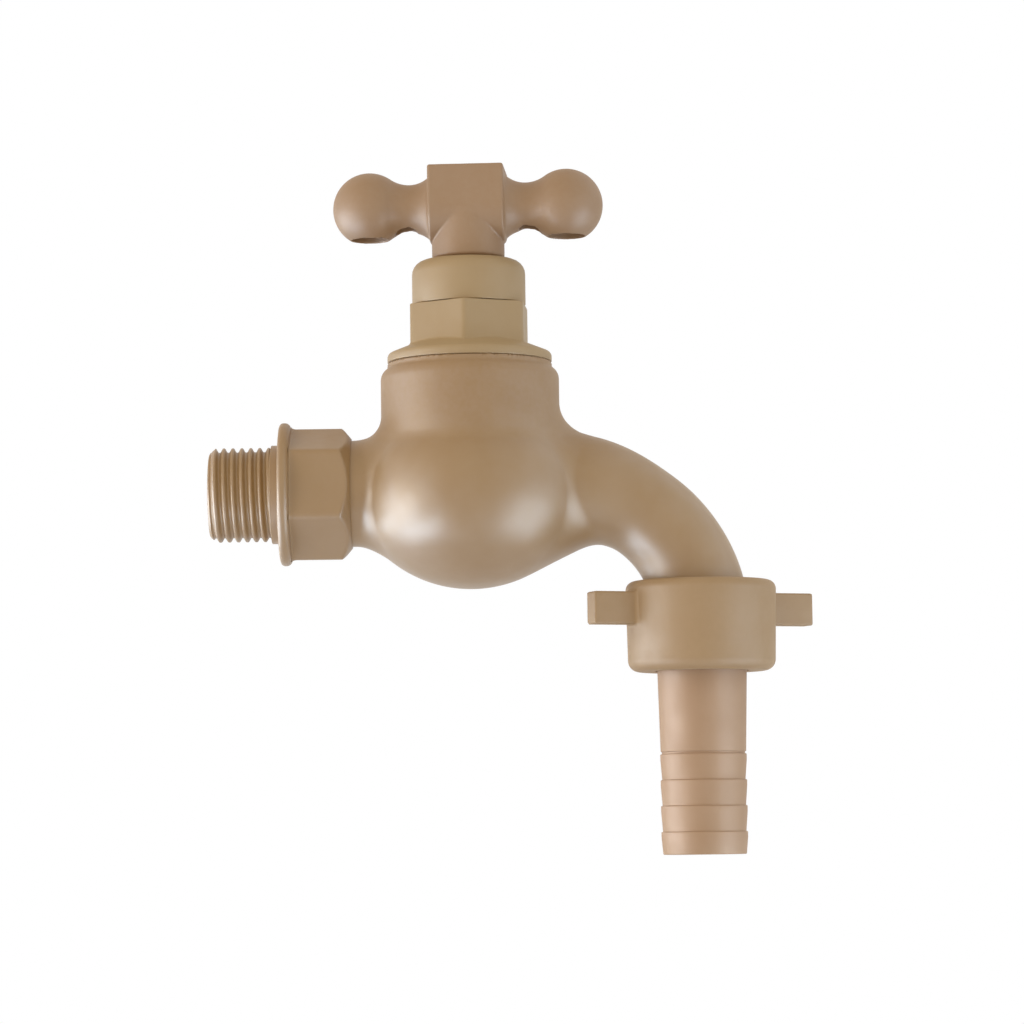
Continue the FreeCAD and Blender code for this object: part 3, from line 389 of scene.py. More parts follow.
# %% Globe and barrel
GLOBE_RADIUS, GLOBE_SIDE = radius_of("body"), 17.2
GLOBE_DROP, GLOBE_DEPTH, GLOBE_SHOULDER = 1.2, 20.3, 5.0
LIP_RADIUS, LIP_HEIGHT, LIP_EDGE, LIP_FILLET = radius_of("bonnet"), 1.3, 0.2, 0.25
BARREL_STEP, BARREL_EDGE = 1.55, 2.9
BARREL_RADIUS = LIP_RADIUS + BARREL_STEP
lip_foot = barrel_top - LIP_HEIGHT
edge_foot = lip_foot - math.sqrt(BARREL_EDGE ** 2 - (BARREL_EDGE - BARREL_RADIUS + LIP_RADIUS) ** 2)
print("globe %.1f mm and barrel %.1f mm across" % (2 * GLOBE_RADIUS, 2 * BARREL_RADIUS))


def barrel_field(radius, height):
    """A straight barrel with a rounded shoulder, and a slimmer lip under the bonnet."""
    wall = drum(radius, height, BARREL_RADIUS, -barrel_top, edge_foot + BARREL_EDGE, BARREL_EDGE)
    shoulder = np.maximum(wall, height - lip_foot)
    lip = drum(radius, height, LIP_RADIUS, -barrel_top, barrel_top, LIP_EDGE)
    return np.maximum(join(shoulder, lip, LIP_FILLET), -height)


def globe_field(radius, height):
    """Distance to the turned globe and barrel: the nearest of their tangent arcs.

    A line through the centres of two tangent arcs parts the plane, and each side
    of it belongs to one arc.
    """
    side = np.array([GLOBE_RADIUS - GLOBE_SIDE, -GLOBE_DROP])
    bottom_radius = ((side[0] ** 2 + GLOBE_DEPTH ** 2 - GLOBE_SIDE ** 2)
                     / (2 * (GLOBE_DEPTH - GLOBE_SIDE)))
    bottom_z = bottom_radius - GLOBE_DROP - GLOBE_DEPTH
    above = (height - side[1]) * side[0] > (radius - side[0]) * (side[1] - bottom_z)
    to_side = np.hypot(radius - side[0], height - side[1]) - GLOBE_SIDE
    to_bottom = np.hypot(radius, height - bottom_z) - bottom_radius
    ball = np.where(above, to_side, to_bottom)
    barrel = barrel_field(radius, height)
    reach = GLOBE_SIDE + GLOBE_SHOULDER
    hollow_r = BARREL_RADIUS + GLOBE_SHOULDER
    hollow_z = side[1] + math.sqrt(reach ** 2 - (hollow_r - side[0]) ** 2)
    from_r, from_z = radius - hollow_r, height - hollow_z
    facing = (from_z < 0) & (from_r * (side[1] - hollow_z) > from_z * (side[0] - hollow_r))
    hollow = GLOBE_SHOULDER - np.hypot(from_r, from_z)
    return np.where(facing, hollow, np.minimum(ball, barrel))


# %% [markdown]
# The spout is a tube along a centre line: level, then round a quarter circle, then
# straight down. It slims from its root to a waist, and widens again for the nut's
# thread. Its field is the distance from the line, less the tube's radius there.

# %% Spout
SPOUT_RISE, SPOUT_BEND = 0.5, 29.5
SPOUT_ROOT, SPOUT_WAIST, SPOUT_FOOT = 12.3, 10.35, 10.7
WAIST_START, WAIST_END = 38, 50
bend_x = outlet_x - spindle_x - SPOUT_BEND
bend_z = SPOUT_RISE - SPOUT_BEND
print("the spout bends from x %.1f to x %.1f" % (spindle_x + bend_x, outlet_x))


def ease(value, start, end):
    """0 before start, 1 after end, and the smooth curve 3 s^2 - 2 s^3 between."""
    share = np.clip((value - start) / (end - start), 0, 1)
    return share * share * (3 - 2 * share)


def spout_line(x, y, z):
    """Distance from the spout's centre line, and the turn along its bend in degrees.

    The line runs level, bends down through a quarter circle and ends straight down.
    """
    over_x, over_z = np.maximum(x - bend_x, 0), np.maximum(z - bend_z, 0)
    level, upright = np.abs(z - SPOUT_RISE), np.abs(x - bend_x - SPOUT_BEND)
    bend = np.abs(np.hypot(over_x, over_z) - SPOUT_BEND)
    in_plane = np.where(x < bend_x, level, np.where(z < bend_z, upright, bend))
    return np.hypot(in_plane, y), np.degrees(np.arctan2(over_x, over_z))


def spout_field(x, y, z):
    """A tube along the centre line that slims from its root to a waist and widens again."""
    away, angle = spout_line(x, y, z)
    radius = (SPOUT_ROOT + (SPOUT_WAIST - SPOUT_ROOT) * ease(angle, 0, WAIST_START)
              + (SPOUT_FOOT - SPOUT_WAIST) * ease(angle, WAIST_END, 90))
    return np.maximum(np.maximum(away - radius, -x), spout_end - z)


# %% [markdown]
# Water comes in through the inlet's bore to a well, rises through the hole in the
# seat into the chamber, and falls through a curved port at the seat's side to the
# spout's bore. Each is a plain shape, and the waterway is the nearest of them all.

# %% Waterway
OUTSIDE = 60
RUNNING_FIT = 0.05
INLET_BORE, SPOUT_BORE, SPOUT_BORE_START = 6.5, 7.5, 11.6
CHAMBER_RADIUS, CHAMBER_FLOOR = 14.2, 8.6
SEAT_RADIUS, SEAT_TOP, SEAT_HOLE, SEAT_HOLE_TOP = 8.7, 10.0, 6.5, 12
WELL_RADIUS, WELL_BEND, WELL_TOP = 9.2, -5.8, 5.8
PORT_RADIUS, PORT_LEVEL, PORT_SPREAD = 14.4, 3.2, 1.19
PORT_HALF_WIDTH, PORT_HALF_HEIGHT = 2.8, 7.8
BONNET_THREAD, BONNET_THREAD_LENGTH = 15.0, 9.5
SEAL_RADIUS, SEAL_THICK = 17.0, 1.2
print("the seat's lip stands %.1f mm above the chamber's floor" % (SEAT_TOP - CHAMBER_FLOOR))


def chamber_field(radius, z):
    """The valve chamber, less the seat's lip, with the bonnet's thread and seal above it."""
    chamber = np.maximum(drum(radius, z, CHAMBER_RADIUS, CHAMBER_FLOOR, OUTSIDE),
                         -drum(radius, z, SEAT_RADIUS, 0, SEAT_TOP))
    thread_foot = barrel_top - BONNET_THREAD_LENGTH - RUNNING_FIT
    screwed = drum(radius, z, BONNET_THREAD + RUNNING_FIT, thread_foot, OUTSIDE)
    sealed = drum(radius, z, SEAL_RADIUS + RUNNING_FIT, barrel_top - SEAL_THICK, OUTSIDE)
    return np.minimum.reduce([chamber, screwed, sealed])


def waterway_field(x, y, z):
    """Distance to the water: inlet bore, well, seat hole, chamber, curved port, spout bore."""
    radius = np.hypot(x, y)
    well = np.hypot(radius, np.minimum(z - WELL_BEND, 0)) - WELL_RADIUS
    bore = np.hypot(y, z) - INLET_BORE - RUNNING_FIT
    port = rectangle(radius - PORT_RADIUS, z - PORT_LEVEL, PORT_HALF_WIDTH, PORT_HALF_HEIGHT)
    away, _ = spout_line(x, y, z)
    hollows = [chamber_field(radius, z), drum(radius, z, SEAT_HOLE, 0, SEAT_HOLE_TOP),
               np.maximum(well, z - WELL_TOP), np.maximum(bore, x),
               np.maximum(port, np.abs(y) - PORT_SPREAD * x),
               np.maximum(away - SPOUT_BORE, SPOUT_BORE_START - x)]
    return np.minimum.reduce(hollows)


# %% [markdown]
# Now the body comes together. Neck and spout leave the globe with fillets that are
# wide above and below and tight at the sides, so a formula gives the fillet's
# radius in every direction round the pipe. The net's box is a little larger than
# the body, by uneven amounts, so that no flat face lies just on a plane of the grid.

# %% Neck and whole body
HEX_END, NET_OVERLAP = 15.9, 1.0
NECK_RADIUS = 11.8
NECK_FILLET_TOP, NECK_FILLET_SIDE, NECK_FILLET_FOOT = 5.4, 1.3, 3.4
SPOUT_FILLET, SPOUT_FILLET_SIDE = 7.0, 1.5
LEAST_DISTANCE = 1e-6
WATERWAY_EDGE = 0.3
BODY_CELL = 0.62
BODY_NET_START = (HEX_END - spindle_x - 2.3, -GLOBE_RADIUS - 1.13, spout_end - 1.17)
BODY_NET_END = (outlet_x - spindle_x + 13.1, GLOBE_RADIUS + 1.2, barrel_top + 1.3)


def fillet_round(y, z, top, side, foot):
    """A fillet's radius round a level pipe: wide above and below, narrow at the sides.

    It goes from the side's value to the top's or the foot's with the square of z / distance.
    """
    rise = z / (np.hypot(y, z) + LEAST_DISTANCE)
    return side + np.where(rise > 0, top - side, foot - side) * rise ** 2


def body_field(x, y, z):
    """Globe joined to neck and spout, less the waterway."""
    globe = globe_field(np.hypot(x, y), z)
    neck_start = HEX_END - NET_OVERLAP - spindle_x
    neck = np.maximum(np.hypot(y, z) - NECK_RADIUS, np.maximum(neck_start - x, x))
    neck_fillet = fillet_round(y, z, NECK_FILLET_TOP, NECK_FILLET_SIDE, NECK_FILLET_FOOT)
    spout_fillet = fillet_round(y, z - SPOUT_RISE, SPOUT_FILLET, SPOUT_FILLET_SIDE, SPOUT_FILLET)
    solid = join(join(globe, neck, neck_fillet), spout_field(x, y, z), spout_fillet)
    return cut(solid, waterway_field(x, y, z), WATERWAY_EDGE)


body_shell = lay_net("body_shell", body_field, BODY_NET_START, BODY_NET_END, BODY_CELL,
                     offset=(spindle_x, 0, 0))

# %% [markdown]
# The inlet is turned about X. Its thread is a helix, so every row of the thread
# has its own radius round the axis. The pipe ends in a chamfer, and the last turn
# runs out into a plain collar at the wall disc. The hexagon's corners are cut back
# by a cone: the radius is the smaller of the hexagon's and the cone's.

# %% Inlet: bore, thread, disc and hexagon
INLET_CREST, INLET_PITCH, INLET_DEPTH = 10.4775, 1.99, 0.95
INLET_SETBACK, INLET_CHAMFER, INLET_LEAD, LEAD_SLOPE = 0.4, 1.2, 5, 0.85
INLET_BORE_ROUND, INLET_END_ROUND, INLET_THREAD_INSET = 0.5, 0.3, 0.2
inlet_start = low("body")[0] + INLET_SETBACK
COLLAR_START, COLLAR_RADIUS = -2.0, 10.95
COLLAR_SINK, COLLAR_SLANT, COLLAR_EDGE = 0.5, 0.15, 0.12
DISC_RADIUS, DISC_THICK, DISC_FILLET = 15.9, 2.5, 0.25
DISC_BACK_ROUND, DISC_FRONT_ROUND = 0.9, 1.3
INLET_HEX_FLATS, INLET_HEX_TURN = 26.0, -5.4
INLET_HEX_CHAMFER, CHAMFER_SLOPE, CORNER_CUT = 2.2, 1.2, 0.15
HEX_SOFTNESS = 0.35
INLET_HEX_ROOT = ((0.5, 0.0), (0.15, 0.15), (0.0, 0.5))
HEX_ROOT_END = 1.0
INLET_THREAD_ROWS, INLET_HEX_ROWS = 112, 40


def softer_of(first, second, softness):
    """The smaller of two radii, less (softness - gap)^2 / (4 softness) where they nearly meet."""
    near = np.maximum(softness - np.abs(first - second), 0)
    return np.minimum(first, second) - near ** 2 / (4 * softness)


def inlet_rows():
    """The closed outline of the inlet, from its bore round the outside to the neck.

    The corners that a slice leaves out only steer the arcs beside them.
    """
    rows = outline((INLET_BORE, HEX_END), (INLET_BORE, inlet_start, INLET_BORE_ROUND),
                   (INLET_CREST - INLET_CHAMFER, inlet_start, INLET_END_ROUND),
                   (INLET_CREST, inlet_start + INLET_LEAD))[:-1]
    for height in np.linspace(inlet_start + INLET_THREAD_INSET, COLLAR_START, INLET_THREAD_ROWS):
        cone = INLET_CREST - INLET_CHAMFER + (height - inlet_start) * LEAD_SLOPE
        rows.append((np.minimum(thread(INLET_CREST, INLET_PITCH, INLET_DEPTH, height), cone), height))
    rows += outline((INLET_CREST - COLLAR_SINK, COLLAR_START),
                    (COLLAR_RADIUS, COLLAR_START + COLLAR_SLANT, COLLAR_EDGE),
                    (COLLAR_RADIUS, 0.0, DISC_FILLET), (DISC_RADIUS, 0.0, DISC_BACK_ROUND),
                    (DISC_RADIUS, DISC_THICK, DISC_FRONT_ROUND), (0, DISC_THICK))[1:-1]
    flats = hexagon(INLET_HEX_FLATS, INLET_HEX_TURN)
    tip = INLET_HEX_FLATS / 2 / math.cos(math.pi / 6)
    for lift, height in INLET_HEX_ROOT:
        rows.append((flats + lift, DISC_THICK + height))
    for height in np.linspace(DISC_THICK + HEX_ROOT_END, HEX_END, INLET_HEX_ROWS):
        cone = tip - CORNER_CUT - CHAMFER_SLOPE * np.maximum(height - HEX_END + INLET_HEX_CHAMFER, 0)
        rows.append((softer_of(flats, cone, HEX_SOFTNESS), height))
    return rows


inlet = turned("body_inlet", inlet_rows(), along="X")

# %% [markdown]
# The spout ends in a three-quarter-inch thread that shows when the nut is backed
# off. It is a ring of its own round the end of the net.

# %% Outlet thread
OUTLET_CREST, OUTLET_PITCH, OUTLET_DEPTH, OUTLET_LENGTH = 13.22, 1.814, 1.1, 10.2
OUTLET_STEP, OUTLET_SLANT, OUTLET_INSET, OUTLET_LEAD = 0.5, 1, 0.02, 0.1
outlet_bore = SPOUT_BORE + OUTLET_STEP
outlet_top, outlet_foot = spout_end + OUTLET_LENGTH, spout_end + OUTLET_INSET
outlet_rows = outline((outlet_bore, outlet_top - OUTLET_SLANT), (outlet_bore, outlet_foot),
                      (OUTLET_CREST - OUTLET_DEPTH, outlet_foot))
outlet_rows += thread_rows(OUTLET_CREST, OUTLET_PITCH, OUTLET_DEPTH, spout_end + OUTLET_LEAD, outlet_top)
outlet_thread = turned("outlet_thread", outlet_rows, x=outlet_x)

# %% [markdown]
# The bonnet is screwed into the barrel: a spigot with a thread, a round collar, a
# hexagon for the spanner and a slim screwed neck that the gland cap covers.

# %% Bonnet
bonnet_top, bonnet_foot = high("bonnet")[2], low("bonnet")[2]
BONNET_PITCH, BONNET_DEPTH = 1.5, 0.9
SEAL_NECK = 14.1
COLLAR_HEIGHT, COLLAR_FALL, COLLAR_ROUND, COLLAR_FOOT_ROUND = 4.25, 2.3, 1.2, 0.25
CAP_SEAM = 0.14
collar_top, hex_top = barrel_top + COLLAR_HEIGHT, cap_foot - CAP_SEAM
BONNET_HEX_FLATS, BONNET_HEX_TURN, BONNET_CRISPNESS = 25.2, -4.2, 50
BONNET_HEX_ROOT = ((0.5, -0.2), (0.15, 0.1), (0.0, 0.5))
BONNET_HEX_EDGE = ((0.0, 0.25), (-0.07, 0.07), (-0.25, 0.0))
GLAND_THREAD, GLAND_DEPTH = 9.5, 0.8
PACKING_BORE, PACKING_DEPTH = 7.55, 6
STEM_RADIUS, SPINDLE_THREAD = 5.0, 7.0
STEM_BORE, SPINDLE_BORE = STEM_RADIUS + RUNNING_FIT, SPINDLE_THREAD + RUNNING_FIT
SPINDLE_BORE_TOP = 36.9
SKIRT_RADIUS, SKIRT_DEPTH = 11.0, 4


def bonnet_outside():
    """Rows of the spigot's thread, the collar, the hexagon and the gland's thread."""
    seal_foot = barrel_top - SEAL_THICK
    rows = thread_rows(BONNET_THREAD, BONNET_PITCH, BONNET_DEPTH, bonnet_foot, seal_foot)
    half = BONNET_HEX_FLATS / 2
    rows += outline((SEAL_NECK, seal_foot), (SEAL_NECK, barrel_top),
                    (LIP_RADIUS, barrel_top, COLLAR_FOOT_ROUND),
                    (LIP_RADIUS, collar_top - COLLAR_FALL, COLLAR_ROUND), (half, collar_top))[:-1]
    flats = hexagon(BONNET_HEX_FLATS, BONNET_HEX_TURN, BONNET_CRISPNESS)
    cone = collar_top - COLLAR_FALL * (flats - half) / (LIP_RADIUS - half)
    rows += [(flats + lift, cone + height) for lift, height in BONNET_HEX_ROOT]
    rows += [(flats + lift, hex_top - height) for lift, height in BONNET_HEX_EDGE]
    return rows + thread_rows(GLAND_THREAD, BONNET_PITCH, GLAND_DEPTH, hex_top, bonnet_top)


def bonnet_inside():
    """Rows of the packing's recess, the stem's hole, the spindle's bore and the skirt."""
    packing_foot, skirt_top = bonnet_top - PACKING_DEPTH, bonnet_foot + SKIRT_DEPTH
    return outline((PACKING_BORE, bonnet_top), (PACKING_BORE, packing_foot), (STEM_BORE, packing_foot),
                   (STEM_BORE, SPINDLE_BORE_TOP), (SPINDLE_BORE, SPINDLE_BORE_TOP),
                   (SPINDLE_BORE, skirt_top), (SKIRT_RADIUS, skirt_top), (SKIRT_RADIUS, bonnet_foot))


bonnet = turned("bonnet_moulding", bonnet_outside() + bonnet_inside(), x=spindle_x)

# %% [markdown]
# The gland cap is a plain turned cap. Its top edge is well rounded, and its lower
# edge only broken, so that the seam on the hexagon reads as a fine dark line.

# %% Gland cap
CAP_RADIUS = radius_of("gland_cap")
CAP_ROUND, CAP_FOOT_ROUND, CAP_HOLE_ROUND = 3.2, 0.2, 0.4
CAP_BORE, CAP_HOLE, CAP_SPARE = GLAND_THREAD + RUNNING_FIT, 5.5, 0.5
cap_ceiling = bonnet_top + CAP_SPARE
cap_rows = outline((CAP_BORE, cap_foot), (CAP_RADIUS, cap_foot, CAP_FOOT_ROUND),
                   (CAP_RADIUS, cap_top, CAP_ROUND), (CAP_HOLE, cap_top, CAP_HOLE_ROUND),
                   (CAP_HOLE, cap_ceiling), (CAP_BORE, cap_ceiling))
cap = turned("gland_cap_moulding", cap_rows, x=spindle_x)

# %% [markdown]
# Each of the handle's arms is turned: a ball, a hollow arc down to a waist and a
# tighter arc that flares into the hub. The arms are one field, because the distance
# along them is taken without its sign.

# %% Arms
BALL_AT, BALL_RADIUS = 22.0, 8.2
WAIST_AT, WAIST_RADIUS, FLARE = 13.0, 5.35, 6.5
ARM_ROOT, ARM_ROOT_END = 7.7, 9.0
print("each arm ends %.1f mm from the spindle's axis" % (BALL_AT + BALL_RADIUS))


def arm_field(along, around):
    """A turned arm: a ball, a hollow arc to the waist and a tighter one that flares to the hub.

    The line through the centres of ball and hollow parts the two.
    """
    run = BALL_AT - WAIST_AT
    hollow = ((run ** 2 + WAIST_RADIUS ** 2 - BALL_RADIUS ** 2)
              / (2 * (BALL_RADIUS - WAIST_RADIUS)))
    ball = np.hypot(along - BALL_AT, around) - BALL_RADIUS
    toward_ball = (along - BALL_AT) * (WAIST_RADIUS + hollow) + around * run > 0
    bend = np.where(along > WAIST_AT, hollow, FLARE)
    near = np.minimum(around, WAIST_RADIUS + bend)
    rod = bend - np.hypot(along - WAIST_AT, near - WAIST_RADIUS - bend) + around - near
    rod = np.where(along < ARM_ROOT_END, np.maximum(rod, around - ARM_ROOT), rod)
    return np.where(toward_ball, ball, rod)


# %% [markdown]
# The handle is a block over a round neck, with an arm and a ball on each side.
# The block's underside is a half cylinder as wide as the neck, so the two meet in
# a pointed arch. It is worked out in the handle's own frame and then turned by a
# few degrees, as the closed handle stands.

# %% Hub and arms
HANDLE_TURN = math.radians(-3.5)
HUB_HALF_WIDTH, HUB_HALF_DEPTH, HUB_TOP, HUB_EDGE = 8.45, 8.1, 8.7, 0.5
HUB_NECK, HUB_NECK_ROUND, NECK_FILLET = 8.1, 0.8, 0.25
ARM_RISE, ARM_START, ARM_FILLET = 11.7, 4, 0.4
BALL_FLAT, FLAT_EDGE = 0.7, 0.5
HANDLE_GAP = 0.3
handle_foot = cap_top + HANDLE_GAP
arm_level = handle_foot + ARM_RISE
print("the arms' axis is at z %.1f" % arm_level)


def hub_and_arms(along, side, z):
    """The block with its half-round underside, the neck, and two arms flat under their balls."""
    reach, around = np.abs(along), np.hypot(side, z)
    above = meet(np.abs(side) - HUB_HALF_DEPTH, z - HUB_TOP, HUB_EDGE)
    section = np.where(z < 0, around - HUB_HALF_DEPTH, above)
    block = meet(section, reach - HUB_HALF_WIDTH, HUB_EDGE)
    arm = arm_field(reach, around)
    arm = np.where(reach > WAIST_AT, meet(arm, -z - BALL_RADIUS + BALL_FLAT, FLAT_EDGE), arm)
    solid = join(block, np.maximum(arm, ARM_START - reach), ARM_FILLET)
    neck = drum(np.hypot(along, side), z, HUB_NECK, -ARM_RISE, 0, HUB_NECK_ROUND)
    return join(solid, neck, NECK_FILLET)


# %% [markdown]
# Balls and arms are cored out from below, as thick mouldings are, so that the
# plastic cools evenly. The hub has a square socket for the spindle and a recess for
# the screw above it.

# %% Cores, socket and the whole handle
BELOW, ABOVE = -12, 12
CORE_RADIUS, CORE_TOP, CORE_ROUND = 4.1, 1.5, 0.8
SLOT_AT, SLOT_HALF, SLOT_ROUND, SLOT_TOP = 13.8, 2.4, 1.5, -2.5
DRIVE_HALF, SOCKET_TOP, STEM_ENTRY = 3.5, 1.6, 1.0
entry_top = STEM_ENTRY + RUNNING_FIT - ARM_RISE
SCREW_WELL, SCREW_WELL_FLOOR = 5.0, 4.2
SCREW_HOLE, SCREW_HOLE_TOP = 2.2, 8
RECESS_EDGE = 0.3
HANDLE_CELL = 0.36
HANDLE_NET_START, HANDLE_NET_END = (-31.1, -11.3, -12.6), (31.2, 11.4, 9.6)


def handle_field(x, y, z):
    """Hub and arms, less the cores, the square socket and the screw's recess."""
    along = x * math.cos(HANDLE_TURN) + y * math.sin(HANDLE_TURN)
    side = -x * math.sin(HANDLE_TURN) + y * math.cos(HANDLE_TURN)
    reach, radius = np.abs(along), np.hypot(along, side)
    core = drum(np.hypot(reach - BALL_AT, side), z, CORE_RADIUS, BELOW, CORE_TOP, CORE_ROUND)
    slot = np.maximum(rectangle(reach - SLOT_AT, side, SLOT_HALF, SLOT_HALF, SLOT_ROUND), z - SLOT_TOP)
    square = np.maximum(reach, np.abs(side)) - DRIVE_HALF - RUNNING_FIT
    socket = np.maximum(square, z - SOCKET_TOP)
    entry = drum(radius, z, STEM_BORE, BELOW, entry_top)
    screw_well = drum(radius, z, SCREW_WELL, SCREW_WELL_FLOOR, ABOVE)
    screw_hole = drum(radius, z, SCREW_HOLE, 0, SCREW_HOLE_TOP)
    solid = cut(hub_and_arms(along, side, z), np.minimum(core, slot), RECESS_EDGE)
    solid = cut(solid, screw_well, RECESS_EDGE)
    return np.maximum(solid, -np.minimum.reduce([socket, entry, screw_hole]))


handle = lay_net("handle_moulding", handle_field, HANDLE_NET_START, HANDLE_NET_END, HANDLE_CELL,
                 offset=(spindle_x, 0, arm_level))

# %% [markdown]
# The union nut is a round nut with two flat wings near its top. Inside, a thread
# takes the spout's end, and a rim below holds the tail's flange. The field uses
# the same helix as the outlet's thread, so ridge and groove stay in step.

# %% Union nut
NUT_TOP_RADIUS, NUT_FOOT_RADIUS = 16.7, 16.3
NUT_TOP_ROUND, NUT_FOOT_ROUND = 2.0, 2.4
WING_TURN = math.radians(22.0)
WING_SPAN, WING_HALF_THICK, WING_HEIGHT, WING_DROP = 26.55, 2.25, 7.2, 2.6
WING_EDGE, WING_TIP_EDGE, WING_ROOT, WING_FILLET = 0.35, 0.4, 14, 0.8
NUT_LEDGE, RIM_HOLE, NUT_BORE_EDGE = 3.35, 10.2, 0.25
NUT_GROOVE, NUT_RIDGE = OUTLET_CREST + 0.08, OUTLET_DEPTH - 0.15
NUT_THREAD_FOOT = spout_end + 0.3
THREAD_EASE = 0.8
NUT_CELL = 0.4
NUT_NET_START, NUT_NET_END = (-27.3, -18.1, nut_foot - 0.9), (27.4, 18.2, nut_top + 0.9)


def wings_field(x, y, z):
    """Both wings as one bar across the nut, hollow inside the nut's wall."""
    along = np.abs(x * math.cos(WING_TURN) + y * math.sin(WING_TURN))
    across = -x * math.sin(WING_TURN) + y * math.cos(WING_TURN)
    wing_z = nut_top - WING_DROP - WING_HEIGHT / 2
    wing = meet(rectangle(across, z - wing_z, WING_HALF_THICK, WING_HEIGHT / 2, WING_EDGE),
                along - WING_SPAN, WING_TIP_EDGE)
    return np.maximum(wing, WING_ROOT - along)


def nut_field(x, y, z):
    """Tapered ring joined to the wings with a small fillet, less the bore and the rim's hole.

    A thread makes its field steeper than a distance, so the bore's part is eased.
    """
    radius = np.hypot(x, y)
    share = (z - nut_foot) / (nut_top - nut_foot)
    side = radius - NUT_FOOT_RADIUS - (NUT_TOP_RADIUS - NUT_FOOT_RADIUS) * share
    ring = meet(meet(side, z - nut_top, NUT_TOP_ROUND), nut_foot - z, NUT_FOOT_ROUND)
    solid = join(ring, wings_field(x, y, z), WING_FILLET)
    ridge = thread(NUT_GROOVE, OUTLET_PITCH, NUT_RIDGE, z, np.arctan2(y, x))
    bore = np.where(z > NUT_THREAD_FOOT, ridge, NUT_GROOVE)
    bore = np.maximum(bore, NUT_GROOVE - (nut_top - z))
    inside = np.maximum((radius - bore) * THREAD_EASE, nut_foot + NUT_LEDGE - z)
    return cut(solid, np.minimum(inside, radius - RIM_HOLE), NUT_BORE_EDGE)


nut = lay_net("union_nut_moulding", nut_field, NUT_NET_START, NUT_NET_END, NUT_CELL,
              offset=(outlet_x, 0, 0))

# %% [markdown]
# The hose tail is turned. Each barb is widest at its upper edge and slims towards
# the end, so that a hose slides on and won't slide off.

# %% Hose tail
BARBS = 4
BARB_EDGE, BARB_ROOT, BARB_PITCH, BARB_LAND, BARB_LAST = 9.55, 9.2, 5.7, 1.2, 5.0
TAIL_NECK, TAIL_FOOT_RADIUS, TAIL_PLAIN = 9.9, 9.45, 18.3
TAIL_BORE, TAIL_END_ROUND, FLANGE_THICK, FLANGE_ROUND = 7.0, 0.3, 2.6, 0.2
GROOVE_WIDTH, GROOVE_SLANT, GROOVE_ROUNDS = 0.5, 0.05, (0.12, 0.1, 0.08)
BARB_ROUND, BARB_ROOT_ROUND, LAST_ROOT_ROUND = 0.15, 0.12, 0.3
tail_top, tail_end = low("tail_washer")[2], low("hose_tail")[2]


def tail_outline():
    """Flange, tapered pipe, groove and barbs, from the flange down the outside to the bore."""
    flange = radius_of("hose_tail")
    first = nut_foot - TAIL_PLAIN
    above_groove, in_groove, under_groove = GROOVE_ROUNDS
    corners = [(TAIL_BORE, tail_top), (flange, tail_top, FLANGE_ROUND),
               (flange, tail_top - FLANGE_THICK, FLANGE_ROUND),
               (TAIL_NECK, tail_top - FLANGE_THICK), (TAIL_NECK, nut_foot),
               (TAIL_FOOT_RADIUS, first + GROOVE_WIDTH + GROOVE_SLANT, above_groove),
               (BARB_ROOT, first + GROOVE_WIDTH, in_groove), (BARB_ROOT, first, under_groove)]
    for barb in range(BARBS):
        top = first - BARB_PITCH * barb
        last = barb == BARBS - 1
        length, edge = (BARB_LAST, LAST_ROOT_ROUND) if last else (BARB_PITCH, BARB_ROOT_ROUND)
        corners += [(BARB_EDGE, top, BARB_ROUND), (BARB_EDGE, top - BARB_LAND),
                    (BARB_ROOT, top - length, edge)]
    return outline(*corners, (TAIL_BORE, tail_end, TAIL_END_ROUND))


tail = turned("hose_tail_moulding", tail_outline(), x=outlet_x)

# %% [markdown]
# The spindle shows between cap and handle when the tap is open. It has a coarse
# thread below, a plain stem and a square end, whose sides are worked out as the
# radius of a square in every direction.

# %% Spindle
spindle_foot, spindle_top = low("spindle")[2], high("spindle")[2]
SPINDLE_PITCH, SPINDLE_DEPTH, SPINDLE_THREAD_LENGTH = 2.0, 1.1, 15.0
shoulder, stem_top = spindle_foot + SPINDLE_THREAD_LENGTH, handle_foot + STEM_ENTRY
STEM_ROUND, STEM_STEP = 0.2, 0.1
JUMPER_BORE, JUMPER_BORE_DEPTH = 3.45, 8.8
CLIP_GROOVE, CLIP_START, CLIP_END, CLIP_SLANT = 4.2, 3.35, 4.65, 0.05
bore_top = spindle_foot + JUMPER_BORE_DEPTH
clip_foot, clip_top = spindle_foot + CLIP_START, spindle_foot + CLIP_END
DRIVE_CORNER, DRIVE_END_CORNER, DRIVE_CHAMFER = 4.75, 4.6, 0.3
TAP_HOLE, TAP_HOLE_DEPTH = 2.05, 12.0


